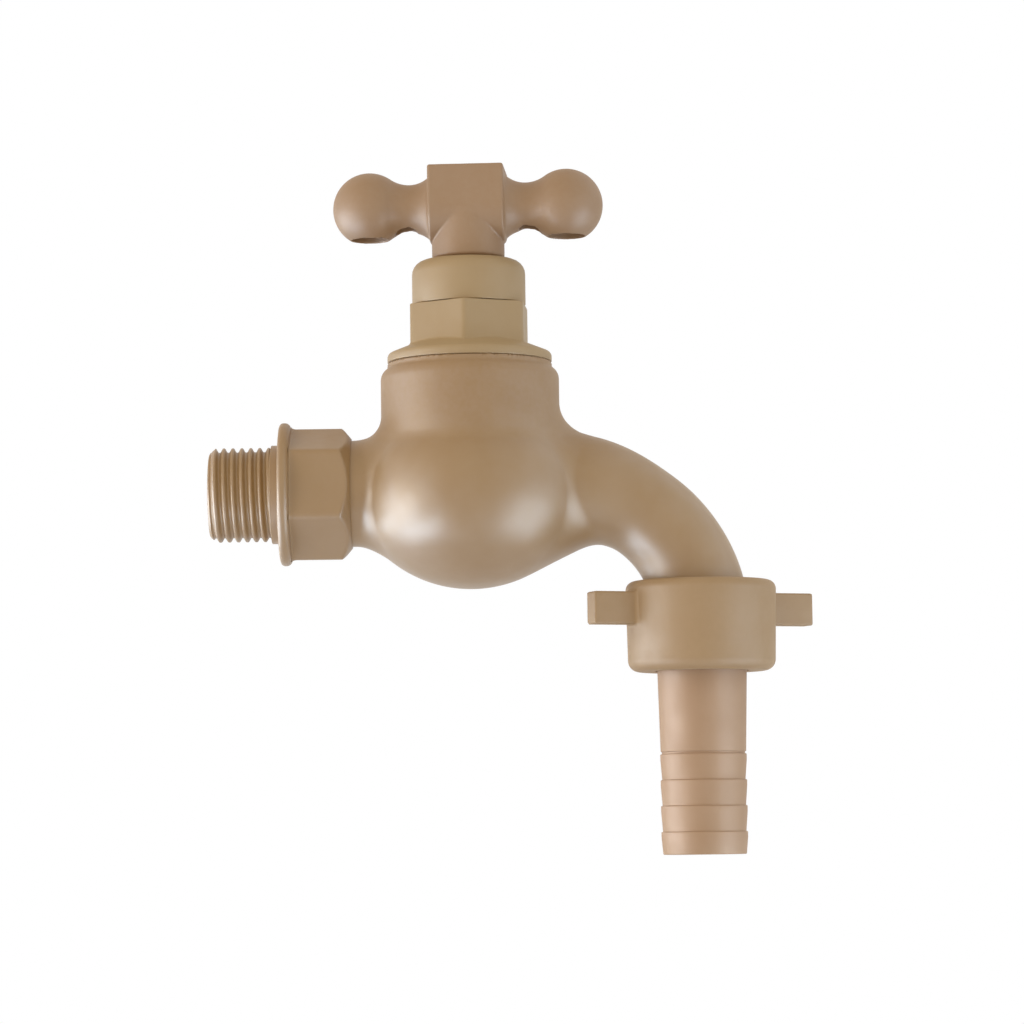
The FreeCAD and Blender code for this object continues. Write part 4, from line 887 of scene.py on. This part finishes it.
def spindle_rows():
    """Jumper's bore, thread, stem and square drive, closed by the screw's hole above."""
    from_x, from_y = np.abs(np.cos(TURN - HANDLE_TURN)), np.abs(np.sin(TURN - HANDLE_TURN))
    square = DRIVE_HALF / np.maximum(from_x, from_y)
    drive = np.minimum(square, DRIVE_CORNER)
    end = np.minimum(square, DRIVE_END_CORNER) - DRIVE_CHAMFER
    rows = outline((0.0, bore_top), (JUMPER_BORE, bore_top), (JUMPER_BORE, clip_top + CLIP_SLANT),
                   (CLIP_GROOVE, clip_top), (CLIP_GROOVE, clip_foot),
                   (JUMPER_BORE, clip_foot - CLIP_SLANT), (JUMPER_BORE, spindle_foot))
    rows += thread_rows(SPINDLE_THREAD, SPINDLE_PITCH, SPINDLE_DEPTH, spindle_foot, shoulder)
    rows += outline((STEM_RADIUS, shoulder), (STEM_RADIUS, stem_top, STEM_ROUND),
                    (STEM_RADIUS - STEM_STEP, stem_top))
    rows += [(drive, stem_top), (drive, spindle_top - DRIVE_CHAMFER), (end, spindle_top)]
    rows += [(TAP_HOLE, spindle_top), (TAP_HOLE, spindle_top - TAP_HOLE_DEPTH)]
    return rows + [(0.0, spindle_top - TAP_HOLE_DEPTH)]


spindle = turned("spindle_turned", spindle_rows(), x=spindle_x)

# %% [markdown]
# A screw in the handle's recess holds it on the square. Its cross recess is a
# height that changes round the axis: the dome, less a groove along two lines.

# %% Handle screw
HEAD_RADIUS, HEAD_HEIGHT, HEAD_FOOT_ROUND = 3.8, 2.4, 0.2
RIM_HEIGHT, RIM_ROUND = 1.1, 0.5
DOME_RADIUS, DOME_FOOT, DOME_CURVE, DOME_ROWS = 3.2, 1.6, 0.075, 40
CROSS_DEPTH, CROSS_SIDES, CROSS_ENDS = 1.3, (0.35, 0.55), (1.5, 2.1)
SHANK_RADIUS, SHANK_PITCH, SHANK_DEPTH, SHANK_LENGTH = 2.0, 0.7, 0.35, 12.0
SHANK_PLAIN, SHANK_POINT = 1.0, 0.1
head_foot = high("screw_washer")[2]


def head_height(radius):
    """The domed head's height at a radius, with the cross sunk into its middle.

    The dome falls by DOME_CURVE x radius squared. The cross is deepest where the
    nearer of its two lines is close, and it fades out along them.
    """
    dome = head_foot + HEAD_HEIGHT - DOME_CURVE * radius ** 2
    arm = np.minimum(np.abs(radius * np.cos(TURN)), np.abs(radius * np.sin(TURN)))
    cross = (1 - ease(arm, *CROSS_SIDES)) * (1 - ease(radius, *CROSS_ENDS))
    return dome - CROSS_DEPTH * cross


def screw_rows():
    """Cross recess, dome, rim, underside and threaded shank."""
    rows = [(radius, head_height(radius)) for radius in np.linspace(0, DOME_RADIUS, DOME_ROWS)]
    rows += outline((DOME_RADIUS, head_foot + DOME_FOOT),
                    (HEAD_RADIUS, head_foot + RIM_HEIGHT, RIM_ROUND),
                    (HEAD_RADIUS, head_foot, HEAD_FOOT_ROUND), (SHANK_RADIUS, head_foot))[1:]
    rows += thread_rows(SHANK_RADIUS, SHANK_PITCH, SHANK_DEPTH, head_foot - SHANK_PLAIN,
                        head_foot - SHANK_LENGTH + SHANK_POINT)
    return rows + [(0.0, head_foot - SHANK_LENGTH)]


screw = turned("handle_screw_turned", screw_rows(), x=spindle_x)

# %% [markdown]
# Materials are built from nodes. A few short helpers keep the later cells readable:
# most of them add one node, link what they are given, and return the output that
# the next node needs.

# %% Node helpers
def link(tree, source, target):
    """Joins an output socket to an input socket."""
    tree.links.new(source, target)


def add_node(tree, kind, inputs=None, **settings):
    """A node with its settings and its unlinked input values."""
    node = tree.nodes.new("ShaderNode" + kind)
    for name, value in settings.items():
        setattr(node, name, value)
    for name, value in (inputs or {}).items():
        node.inputs[name].default_value = value
    return node


def new_group(name, inputs, outputs):
    """A shader node group with named sockets; returns it with its two end nodes."""
    group = bpy.data.node_groups.new(name, "ShaderNodeTree")
    for socket, kind, value in inputs:
        item = group.interface.new_socket(socket, in_out="INPUT", socket_type="NodeSocket" + kind)
        item.default_value = value
    for socket, kind in outputs:
        group.interface.new_socket(socket, in_out="OUTPUT", socket_type="NodeSocket" + kind)
    return group, group.nodes.new("NodeGroupInput"), group.nodes.new("NodeGroupOutput")


def noise(tree, place, scale, detail=3.0, roughness=0.5, stretch=None):
    """Noise on a vector, with an optional stretch of the space."""
    node = add_node(tree, "TexNoise", {"Detail": detail, "Roughness": roughness})
    if stretch is not None:
        squeeze = add_node(tree, "Mapping", {"Scale": stretch})
        link(tree, place, squeeze.inputs["Vector"])
        place = squeeze.outputs["Vector"]
    link(tree, place, node.inputs["Vector"])
    if isinstance(scale, float):
        node.inputs["Scale"].default_value = scale
    else:
        link(tree, scale, node.inputs["Scale"])
    return node.outputs["Fac"]


def ramp(tree, value, low_in, high_in, low_out, high_out):
    """Maps a value from one span to another, held at both ends."""
    node = add_node(tree, "MapRange", {"From Min": low_in, "From Max": high_in,
                                       "To Min": low_out, "To Max": high_out})
    link(tree, value, node.inputs["Value"])
    return node.outputs["Result"]


def times(tree, first, second):
    """The product of two values."""
    node = add_node(tree, "Math", operation="MULTIPLY")
    link(tree, first, node.inputs[0])
    link(tree, second, node.inputs[1])
    return node.outputs[0]


def mixed(tree, share, first, second):
    """A colour mixed between two others; each may be a socket or a plain colour."""
    node = add_node(tree, "Mix", data_type="RGBA")
    link(tree, share, node.inputs["Factor"])
    for name, value in (("A", first), ("B", second)):
        socket = [item for item in node.inputs if item.name == name and item.type == "RGBA"][0]
        if isinstance(value, tuple):
            socket.default_value = value
        else:
            link(tree, value, socket)
    return [item for item in node.outputs if item.type == "RGBA"][0]


def rgb(red, green, blue):
    """A colour written as on screen, 0 to 255, turned into light values.

    Light is ((part + 0.055) / 1.055) to the power 2.4, and part / 12.92 near black.
    """
    parts = np.array([red, green, blue]) / 255
    light = np.where(parts > 0.04045, ((parts + 0.055) / 1.055) ** 2.4, parts / 12.92)
    return (*[float(part) for part in light], 1.0)


print("a screen's grey of 128 is a light value of %.3f" % rgb(128, 128, 128)[0])

# %% [markdown]
# Moulded plastic isn't one flat colour. The melt leaves faint cloudy streaks, the
# mould's own skin leaves a very fine grain, and handling dulls the gloss in soft
# patches. A matt skin loses its clear top layer, and a pale colour is laid over the
# base there in a fine speckle: painted sheen, the whitish haze that a dull skin
# reflects. One node group makes all of this from the object's coordinates, and
# each plastic places it with its own values.

# %% The moulded skin
STREAK_SCALE, SPECKLE_SCALE, PATCH_SCALE, RIPPLE_SCALE = 60.0, 700.0, 150.0, 260.0
STREAK_STRETCH, RIPPLE_SHARE = (1.0, 1.0, 0.35), 1.6
NOISE_SPAN, CLOUD_SPAN = (0.3, 0.7), (0.35, 0.7)
STREAK_LEAST, SHEEN_LEAST, COAT_LEAST, GLOSS_SPREAD = 0.25, 0.55, 0.85, (0.9, 1.1)
PLAIN_TAN = (0.4, 0.3, 0.2, 1)


def moulded_skin():
    """Cloud and streak tint the colour, a painted sheen pales a matt skin, patches change the gloss, and
    grain gives a height.
    """
    group, start, end = new_group(
        "moulded_skin",
        [("Base", "Color", PLAIN_TAN), ("Streak", "Color", PLAIN_TAN), ("Painted Sheen", "Color", PLAIN_TAN),
         ("Matt", "Float", 0.0), ("Shine", "Float", 1.0),
         ("Cloud Size", "Float", 80.0), ("Gloss", "Float", 0.4), ("Grain Size", "Float", 1500.0)],
        [("Color", "Color"), ("Roughness", "Float"), ("Coat", "Float"), ("Height", "Float")])
    place = add_node(group, "TexCoord").outputs["Object"]
    cloud = noise(group, place, start.outputs["Cloud Size"], 4.0, 0.55)
    streak = noise(group, place, STREAK_SCALE, 3.0, 0.6, stretch=STREAK_STRETCH)
    share = times(group, ramp(group, cloud, *CLOUD_SPAN, 0.0, 1.0),
                  ramp(group, streak, *NOISE_SPAN, STREAK_LEAST, 1.0))
    melt = mixed(group, share, start.outputs["Base"], start.outputs["Streak"])
    # Painted sheen: the more matt the skin, the more its colour is mixed towards a pale tone, in a
    # speckle, for the haze it reflects.
    speckle = noise(group, place, SPECKLE_SCALE, 2.0, 0.6)
    sheen_share = times(group, start.outputs["Matt"], ramp(group, speckle, *NOISE_SPAN, SHEEN_LEAST, 1.0))
    link(group, mixed(group, sheen_share, melt, start.outputs["Painted Sheen"]), end.inputs["Color"])
    patch = noise(group, place, PATCH_SCALE, 2.0)
    link(group, times(group, start.outputs["Gloss"], ramp(group, patch, *NOISE_SPAN, *GLOSS_SPREAD)),
         end.inputs["Roughness"])
    polish = times(group, start.outputs["Shine"], ramp(group, start.outputs["Matt"], 0.0, 1.0, 1.0, 0.0))
    link(group, times(group, polish, ramp(group, patch, *NOISE_SPAN, 1.0, COAT_LEAST)),
         end.inputs["Coat"])
    grain = noise(group, place, start.outputs["Grain Size"], 2.0, 0.5)
    ripple = noise(group, place, RIPPLE_SCALE, 1.0)
    height = add_node(group, "Math", operation="MULTIPLY_ADD")
    link(group, ripple, height.inputs[0])
    height.inputs[1].default_value = RIPPLE_SHARE
    link(group, grain, height.inputs[2])
    link(group, height.outputs[0], end.inputs["Height"])
    return group


SKIN = moulded_skin()
print("moulded skin:", len(SKIN.nodes), "nodes")

# %% [markdown]
# The plastic itself is a Principled shader: a satin gloss under a clearer coat,
# whose weight comes from the group's Coat output. The streak colour sits close to
# the base, because the mottling on the real one is faint. Colours are written as
# they look on screen, and each finish is kept by its slot's name.

# %% Plastics
GRAIN_HEIGHT = 0.000012
SATIN = {"IOR": 1.5, "Specular IOR Level": 0.3, "Coat IOR": 1.5, "Coat Roughness": 0.42}
FINISH = {}


def surface(name, group, values, bump=GRAIN_HEIGHT, shader=None):
    """A material whose group feeds colour, roughness and height into a Principled shader."""
    material = bpy.data.materials.new(name)
    material.use_nodes = True
    tree = material.node_tree
    principled = tree.nodes["Principled BSDF"]
    part = tree.nodes.new("ShaderNodeGroup")
    part.node_tree = group
    for socket, value in values.items():
        part.inputs[socket].default_value = value
    link(tree, part.outputs["Color"], principled.inputs["Base Color"])
    link(tree, part.outputs["Roughness"], principled.inputs["Roughness"])
    if "Coat" in part.outputs:
        link(tree, part.outputs["Coat"], principled.inputs["Coat Weight"])
    relief = add_node(tree, "Bump", {"Strength": 1.0, "Distance": bump})
    link(tree, part.outputs["Height"], relief.inputs["Height"])
    link(tree, relief.outputs["Normal"], principled.inputs["Normal"])
    for socket, value in (shader or {}).items():
        principled.inputs[socket].default_value = value
    FINISH[name] = material
    return material


def plastic(name, base, streak, painted_sheen, matt, shine=1.0, gloss=0.7, **shader):
    """A moulded plastic with its own colours, the third of them a painted sheen for its matt skin; matt
    runs from a polished skin, 0, to a dull one, 1.
    """
    return surface(name, SKIN, {"Base": rgb(*base), "Streak": rgb(*streak), "Painted Sheen": rgb(*painted_sheen),
                                "Matt": matt, "Shine": shine, "Gloss": gloss},
                   shader=dict(SATIN, **shader))


# The third colour of each plastic is painted sheen: a paler tone laid over its matt skin for the haze
# that skin reflects.
body_plastic = plastic("body_plastic", (146, 110, 60), (152, 118, 72), (156, 124, 90), 0.0)
plastic("bonnet_plastic", (160, 129, 84), (164, 136, 94), (163, 134, 92), 0.68)
plastic("handle_plastic", (150, 114, 76), (156, 122, 88), (156, 124, 90), 0.7)
plastic("nut_plastic", (155, 122, 78), (161, 130, 90), (162, 129, 88), 0.85)
plastic("tail_plastic", (156, 120, 84), (166, 131, 98), (160, 124, 88), 0.4, shine=0.3, Metallic=0.1)

# %% [markdown]
# On the body the polish isn't the same all over: the globe and the spout shine, and
# the barrel is partly matt, which also lays the painted sheen over the barrel's colour.
# The height on the piece steers it.

# %% Matt barrel
BARREL_MATT_FOOT, BARREL_MATT_TOP, BARREL_MATT = 5.0, 18.0, 0.65


def matt_above(material, foot, top, matt):
    """The skin turns from polished to partly matt, with its painted sheen, between two heights, in
    millimetres.
    """
    tree = material.node_tree
    part = [node for node in tree.nodes if node.type == "GROUP"][0]
    split = add_node(tree, "SeparateXYZ")
    link(tree, add_node(tree, "TexCoord").outputs["Object"], split.inputs[0])
    link(tree, ramp(tree, split.outputs["Z"], foot * MM, top * MM, 0.0, matt), part.inputs["Matt"])


matt_above(body_plastic, BARREL_MATT_FOOT, BARREL_MATT_TOP, BARREL_MATT)
print("matt rises to %.2f from z %.0f to z %.0f mm" % (BARREL_MATT, BARREL_MATT_FOOT, BARREL_MATT_TOP))

# %% [markdown]
# Hidden pieces are finished too, because they show when the tap is open or taken
# apart: turned brass with fine rings, brushed steel, matt rubber, fibre packing.

# %% Metal, rubber and fibre
RING_HEIGHT, RUBBER_HEIGHT, FIBRE_HEIGHT = 0.000008, 0.00003, 0.0001
RING_SCALE, RING_STRETCH, RING_GLOSS = 900.0, (0.03, 0.03, 4.0), (0.8, 1.3)
STAIN_SCALE, STAIN_SPAN, STAIN_MOST = 90.0, (0.45, 0.75), 0.6


def turned_metal():
    """Fine rings from noise that is squeezed along the axis, with a slow stain over them."""
    group, start, end = new_group(
        "turned_metal",
        [("Base", "Color", PLAIN_TAN), ("Stain", "Color", PLAIN_TAN), ("Gloss", "Float", 0.25)],
        [("Color", "Color"), ("Roughness", "Float"), ("Height", "Float")])
    place = add_node(group, "TexCoord").outputs["Object"]
    rings = noise(group, place, RING_SCALE, 2.0, 0.6, stretch=RING_STRETCH)
    stain = noise(group, place, STAIN_SCALE, 4.0, 0.6)
    link(group, mixed(group, ramp(group, stain, *STAIN_SPAN, 0.0, STAIN_MOST), start.outputs["Base"],
                      start.outputs["Stain"]), end.inputs["Color"])
    link(group, times(group, start.outputs["Gloss"], ramp(group, rings, *NOISE_SPAN, *RING_GLOSS)),
         end.inputs["Roughness"])
    link(group, rings, end.inputs["Height"])
    return group


METAL = turned_metal()


def metal(name, base, stain, gloss):
    """A turned metal with its own colour, stain and gloss."""
    return surface(name, METAL, {"Base": rgb(*base), "Stain": rgb(*stain), "Gloss": gloss},
                   bump=RING_HEIGHT, shader={"Metallic": 1.0})


metal("spindle_brass", (214, 178, 106), (176, 138, 78), 0.25)
metal("screw_steel", (196, 196, 192), (160, 160, 156), 0.3)
surface("seal_rubber", SKIN, {"Base": rgb(38, 38, 38), "Streak": rgb(58, 58, 56), "Shine": 0.0,
                              "Gloss": 0.7, "Grain Size": 2500.0}, bump=RUBBER_HEIGHT)
surface("packing_fibre", SKIN, {"Base": rgb(70, 68, 64), "Streak": rgb(104, 100, 92), "Shine": 0.0,
                                "Gloss": 0.85, "Cloud Size": 700.0, "Grain Size": 1800.0},
        bump=FIBRE_HEIGHT)
print("finishes:", ", ".join(FINISH))

# %% [markdown]
# Each new piece rides on the body that carries it, stands for its node and takes
# its slot's finish. The other nodes keep their own shape and get a material.

# %% Dress every piece
DRESS = [
    (body_shell, "tap", "body", "body_plastic"),
    (inlet, "tap", "body", "body_plastic"),
    (outlet_thread, "tap", "body", "body_plastic"),
    (bonnet, "tap", "bonnet", "bonnet_plastic"),
    (cap, "tap", "gland_cap", "bonnet_plastic"),
    (handle, "spindle_set", "handle", "handle_plastic"),
    (spindle, "spindle_set", "spindle", "spindle_brass"),
    (screw, "spindle_set", "handle_screw", "screw_steel"),
    (nut, "union_nut", "union_nut", "nut_plastic"),
    (tail, "hose_tail", "hose_tail", "tail_plastic"),
]
for piece, body, node, slot in DRESS:
    piece.data.materials.append(FINISH[slot])
    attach(piece, body)
    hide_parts(node)

KEPT = {"seal_rubber": ("bonnet_seal", "valve_washer", "tail_washer"),
        "packing_fibre": ("gland_packing",),
        "spindle_brass": ("gland_follower", "jumper", "washer_nut"),
        "screw_steel": ("jumper_clip", "screw_washer")}
for slot, nodes in KEPT.items():
    for node in nodes:
        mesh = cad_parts[node].data
        mesh.materials.clear()
        mesh.materials.append(FINISH[slot])
print("dressed %d new pieces and %d kept nodes" % (len(DRESS), sum(map(len, KEPT.values()))))

# %% [markdown]
# The tap is shown as in a catalogue: white all round, on a pale floor that keeps
# its shadow. Light Path tells the rays apart, so the world looks white to the
# camera and in reflections, but lights the plastic at a plain level.

# %% Surroundings
WORLD_LIGHT = 0.745
WHITE = (1, 1, 1, 1)
WHITE_SEEN = ("Is Camera Ray", "Is Glossy Ray", "Is Transmission Ray")


def seen_directly(tree, rim=None):
    """1 for rays that show the background as it is: camera, glossy or transmission rays.

    A rim value makes camera rays see the background only as far as it says.
    """
    path = add_node(tree, "LightPath")
    total = path.outputs[WHITE_SEEN[0]]
    if rim is not None:
        total = times(tree, total, rim)
    for name in WHITE_SEEN[1:]:
        larger = add_node(tree, "Math", operation="MAXIMUM")
        link(tree, total, larger.inputs[0])
        link(tree, path.outputs[name], larger.inputs[1])
        total = larger.outputs[0]
    return total


def mixed_shader(tree, share, first, second, output):
    """Mixes two shaders into the output's surface."""
    mix = add_node(tree, "MixShader")
    link(tree, share, mix.inputs[0])
    link(tree, first, mix.inputs[1])
    link(tree, second, mix.inputs[2])
    link(tree, mix.outputs[0], output)


def make_world():
    """A white background for the camera and reflections, and a plain level of light."""
    world = bpy.data.worlds.new("studio")
    bpy.context.scene.world = world
    world.use_nodes = True
    tree = world.node_tree
    soft = tree.nodes["Background"]
    soft.inputs["Color"].default_value = WHITE
    soft.inputs["Strength"].default_value = WORLD_LIGHT
    white = add_node(tree, "Background", {"Color": WHITE, "Strength": 1.0})
    mixed_shader(tree, seen_directly(tree), soft.outputs[0], white.outputs[0],
                 tree.nodes["World Output"].inputs["Surface"])


make_world()
print("the world lights the tap at %.3f and looks white" % WORLD_LIGHT)

# %% [markdown]
# The floor is a pale disc. Its middle shows mostly its own paint, which takes the
# tap's shadow, and towards the rim it fades into the white round it, so that no
# edge is seen.

# %% Floor
FLOOR_Z, FLOOR_RADIUS, FLOOR_THICK = -240.0, 550.0, 2.0
FLOOR_RINGS = 12
FLOOR_PAINT, FLOOR_ROUGHNESS = (0.86, 0.86, 0.86, 1), 0.9
FADE_START, FADE_END, FADE_LEAST = 100, 495, 0.35


def make_floor():
    """A disc, z constant, whose paint gives way to white from its middle to its rim."""
    rows = [(ring, FLOOR_Z) for ring in np.linspace(0, FLOOR_RADIUS, FLOOR_RINGS)]
    rows += [(FLOOR_RADIUS, FLOOR_Z - FLOOR_THICK), (0, FLOOR_Z - FLOOR_THICK)]
    floor = turned("floor", rows, x=outlet_x / 2)
    material = bpy.data.materials.new("floor_white")
    material.use_nodes = True
    tree = material.node_tree
    paint = tree.nodes["Principled BSDF"]
    paint.inputs["Base Color"].default_value = FLOOR_PAINT
    paint.inputs["Roughness"].default_value = FLOOR_ROUGHNESS
    glow = add_node(tree, "Emission", {"Color": WHITE, "Strength": 1.0})
    centre = add_node(tree, "Mapping", {"Location": (-outlet_x / 2 * MM, 0, -FLOOR_Z * MM)})
    link(tree, add_node(tree, "TexCoord").outputs["Object"], centre.inputs["Vector"])
    away = add_node(tree, "VectorMath", operation="LENGTH")
    link(tree, centre.outputs["Vector"], away.inputs[0])
    rim = ramp(tree, away.outputs["Value"], FADE_START * MM, FADE_END * MM, FADE_LEAST, 1.0)
    mixed_shader(tree, seen_directly(tree, rim), paint.outputs[0], glow.outputs[0],
                 tree.nodes["Material Output"].inputs["Surface"])
    floor.data.materials.append(material)


make_floor()

# %% [markdown]
# A broad soft lamp stands on the left, and weaker ones in front and on the right.
# A satin skin mirrors its lamps dimly, so lamps that are bright enough to show on
# the globe would bleach its colour. The highlights come from cards instead: lamps
# that only glossy rays see. They are a little blue, because a highlight that looks
# neutral on a warm plastic is cooler than white.

# %% Lamps
COOL, LILAC = (0.66, 0.82, 1.0), (0.56, 0.76, 1.0)
globe_centre = Vector((spindle_x * MM, 0, 0))


def soft_lamp(name, distance, bearing, rise, wide, tall, light, tint=(1, 1, 1), gloss_only=False):
    """A rectangular lamp at a bearing left of the camera and a rise, all in degrees.

    Its sides are 2 x distance x tan(half the angle), and its power is light x pi x its area.
    """
    lamp = bpy.data.lights.new(name, "AREA")
    lamp.shape = "RECTANGLE"
    lamp.size, lamp.size_y = [2 * distance * math.tan(math.radians(angle / 2)) for angle in (wide, tall)]
    lamp.energy = light * math.pi * lamp.size * lamp.size_y
    lamp.color = tint
    item = bpy.data.objects.new(name, lamp)
    bpy.context.scene.collection.objects.link(item)
    turn, lift = math.radians(bearing), math.radians(rise)
    away = Vector((-math.sin(turn) * math.cos(lift), -math.cos(turn) * math.cos(lift), math.sin(lift)))
    item.location = globe_centre + away * distance
    item.rotation_euler = away.to_track_quat("Z", "Y").to_euler()
    item.visible_camera = False
    item.visible_diffuse = not gloss_only
    print("%s: %.0f x %.0f mm, %.2f W" % (name, lamp.size / MM, lamp.size_y / MM, lamp.energy))


soft_lamp("left_softbox", 0.6, 72, 12, 60, 56, 1.2)
soft_lamp("front_softbox", 0.6, 10, 15, 50, 50, 0.35)
soft_lamp("right_softbox", 0.6, -70, 5, 50, 60, 0.5, LILAC)
soft_lamp("left_card", 0.3, 87, -13, 62, 36, 13.5, COOL, gloss_only=True)
soft_lamp("right_card", 0.26, -66, -31, 42, 46, 9.5, LILAC, gloss_only=True)
soft_lamp("low_card", 0.3, 70, -44, 46, 18, 18.0, COOL, gloss_only=True)
soft_lamp("top_card", 0.5, -75, 35, 80, 70, 1.0, LILAC, gloss_only=True)

# %% [markdown]
# The camera stands a little lower than the tap and looks up at it by a few
# degrees, far off, with a long lens, so the shapes stay nearly undistorted.

# %% Camera
IMAGE_SIDE = 1024
FOCAL_PIXELS = 3826.0
DISTANCE = 0.85
LOOK_UP = math.radians(4.8)
ROLL = math.radians(0.75)
IMAGE_CENTRE = Vector((0.0514, 0.0, -0.0045))

camera_data = bpy.data.cameras.new("photo_camera")
camera_data.lens = FOCAL_PIXELS / IMAGE_SIDE * camera_data.sensor_width
camera = bpy.data.objects.new("photo_camera", camera_data)
bpy.context.scene.collection.objects.link(camera)
camera.location = IMAGE_CENTRE + DISTANCE * Vector((0, -math.cos(LOOK_UP), -math.sin(LOOK_UP)))
camera.rotation_euler = (Matrix.Rotation(math.pi / 2 + LOOK_UP, 4, "X")
                         @ Matrix.Rotation(-ROLL, 4, "Z")).to_euler()
bpy.context.scene.camera = camera
bpy.context.scene.view_settings.view_transform = "Standard"
print("camera %.2f m off, lens %.0f mm" % (DISTANCE, camera_data.lens))
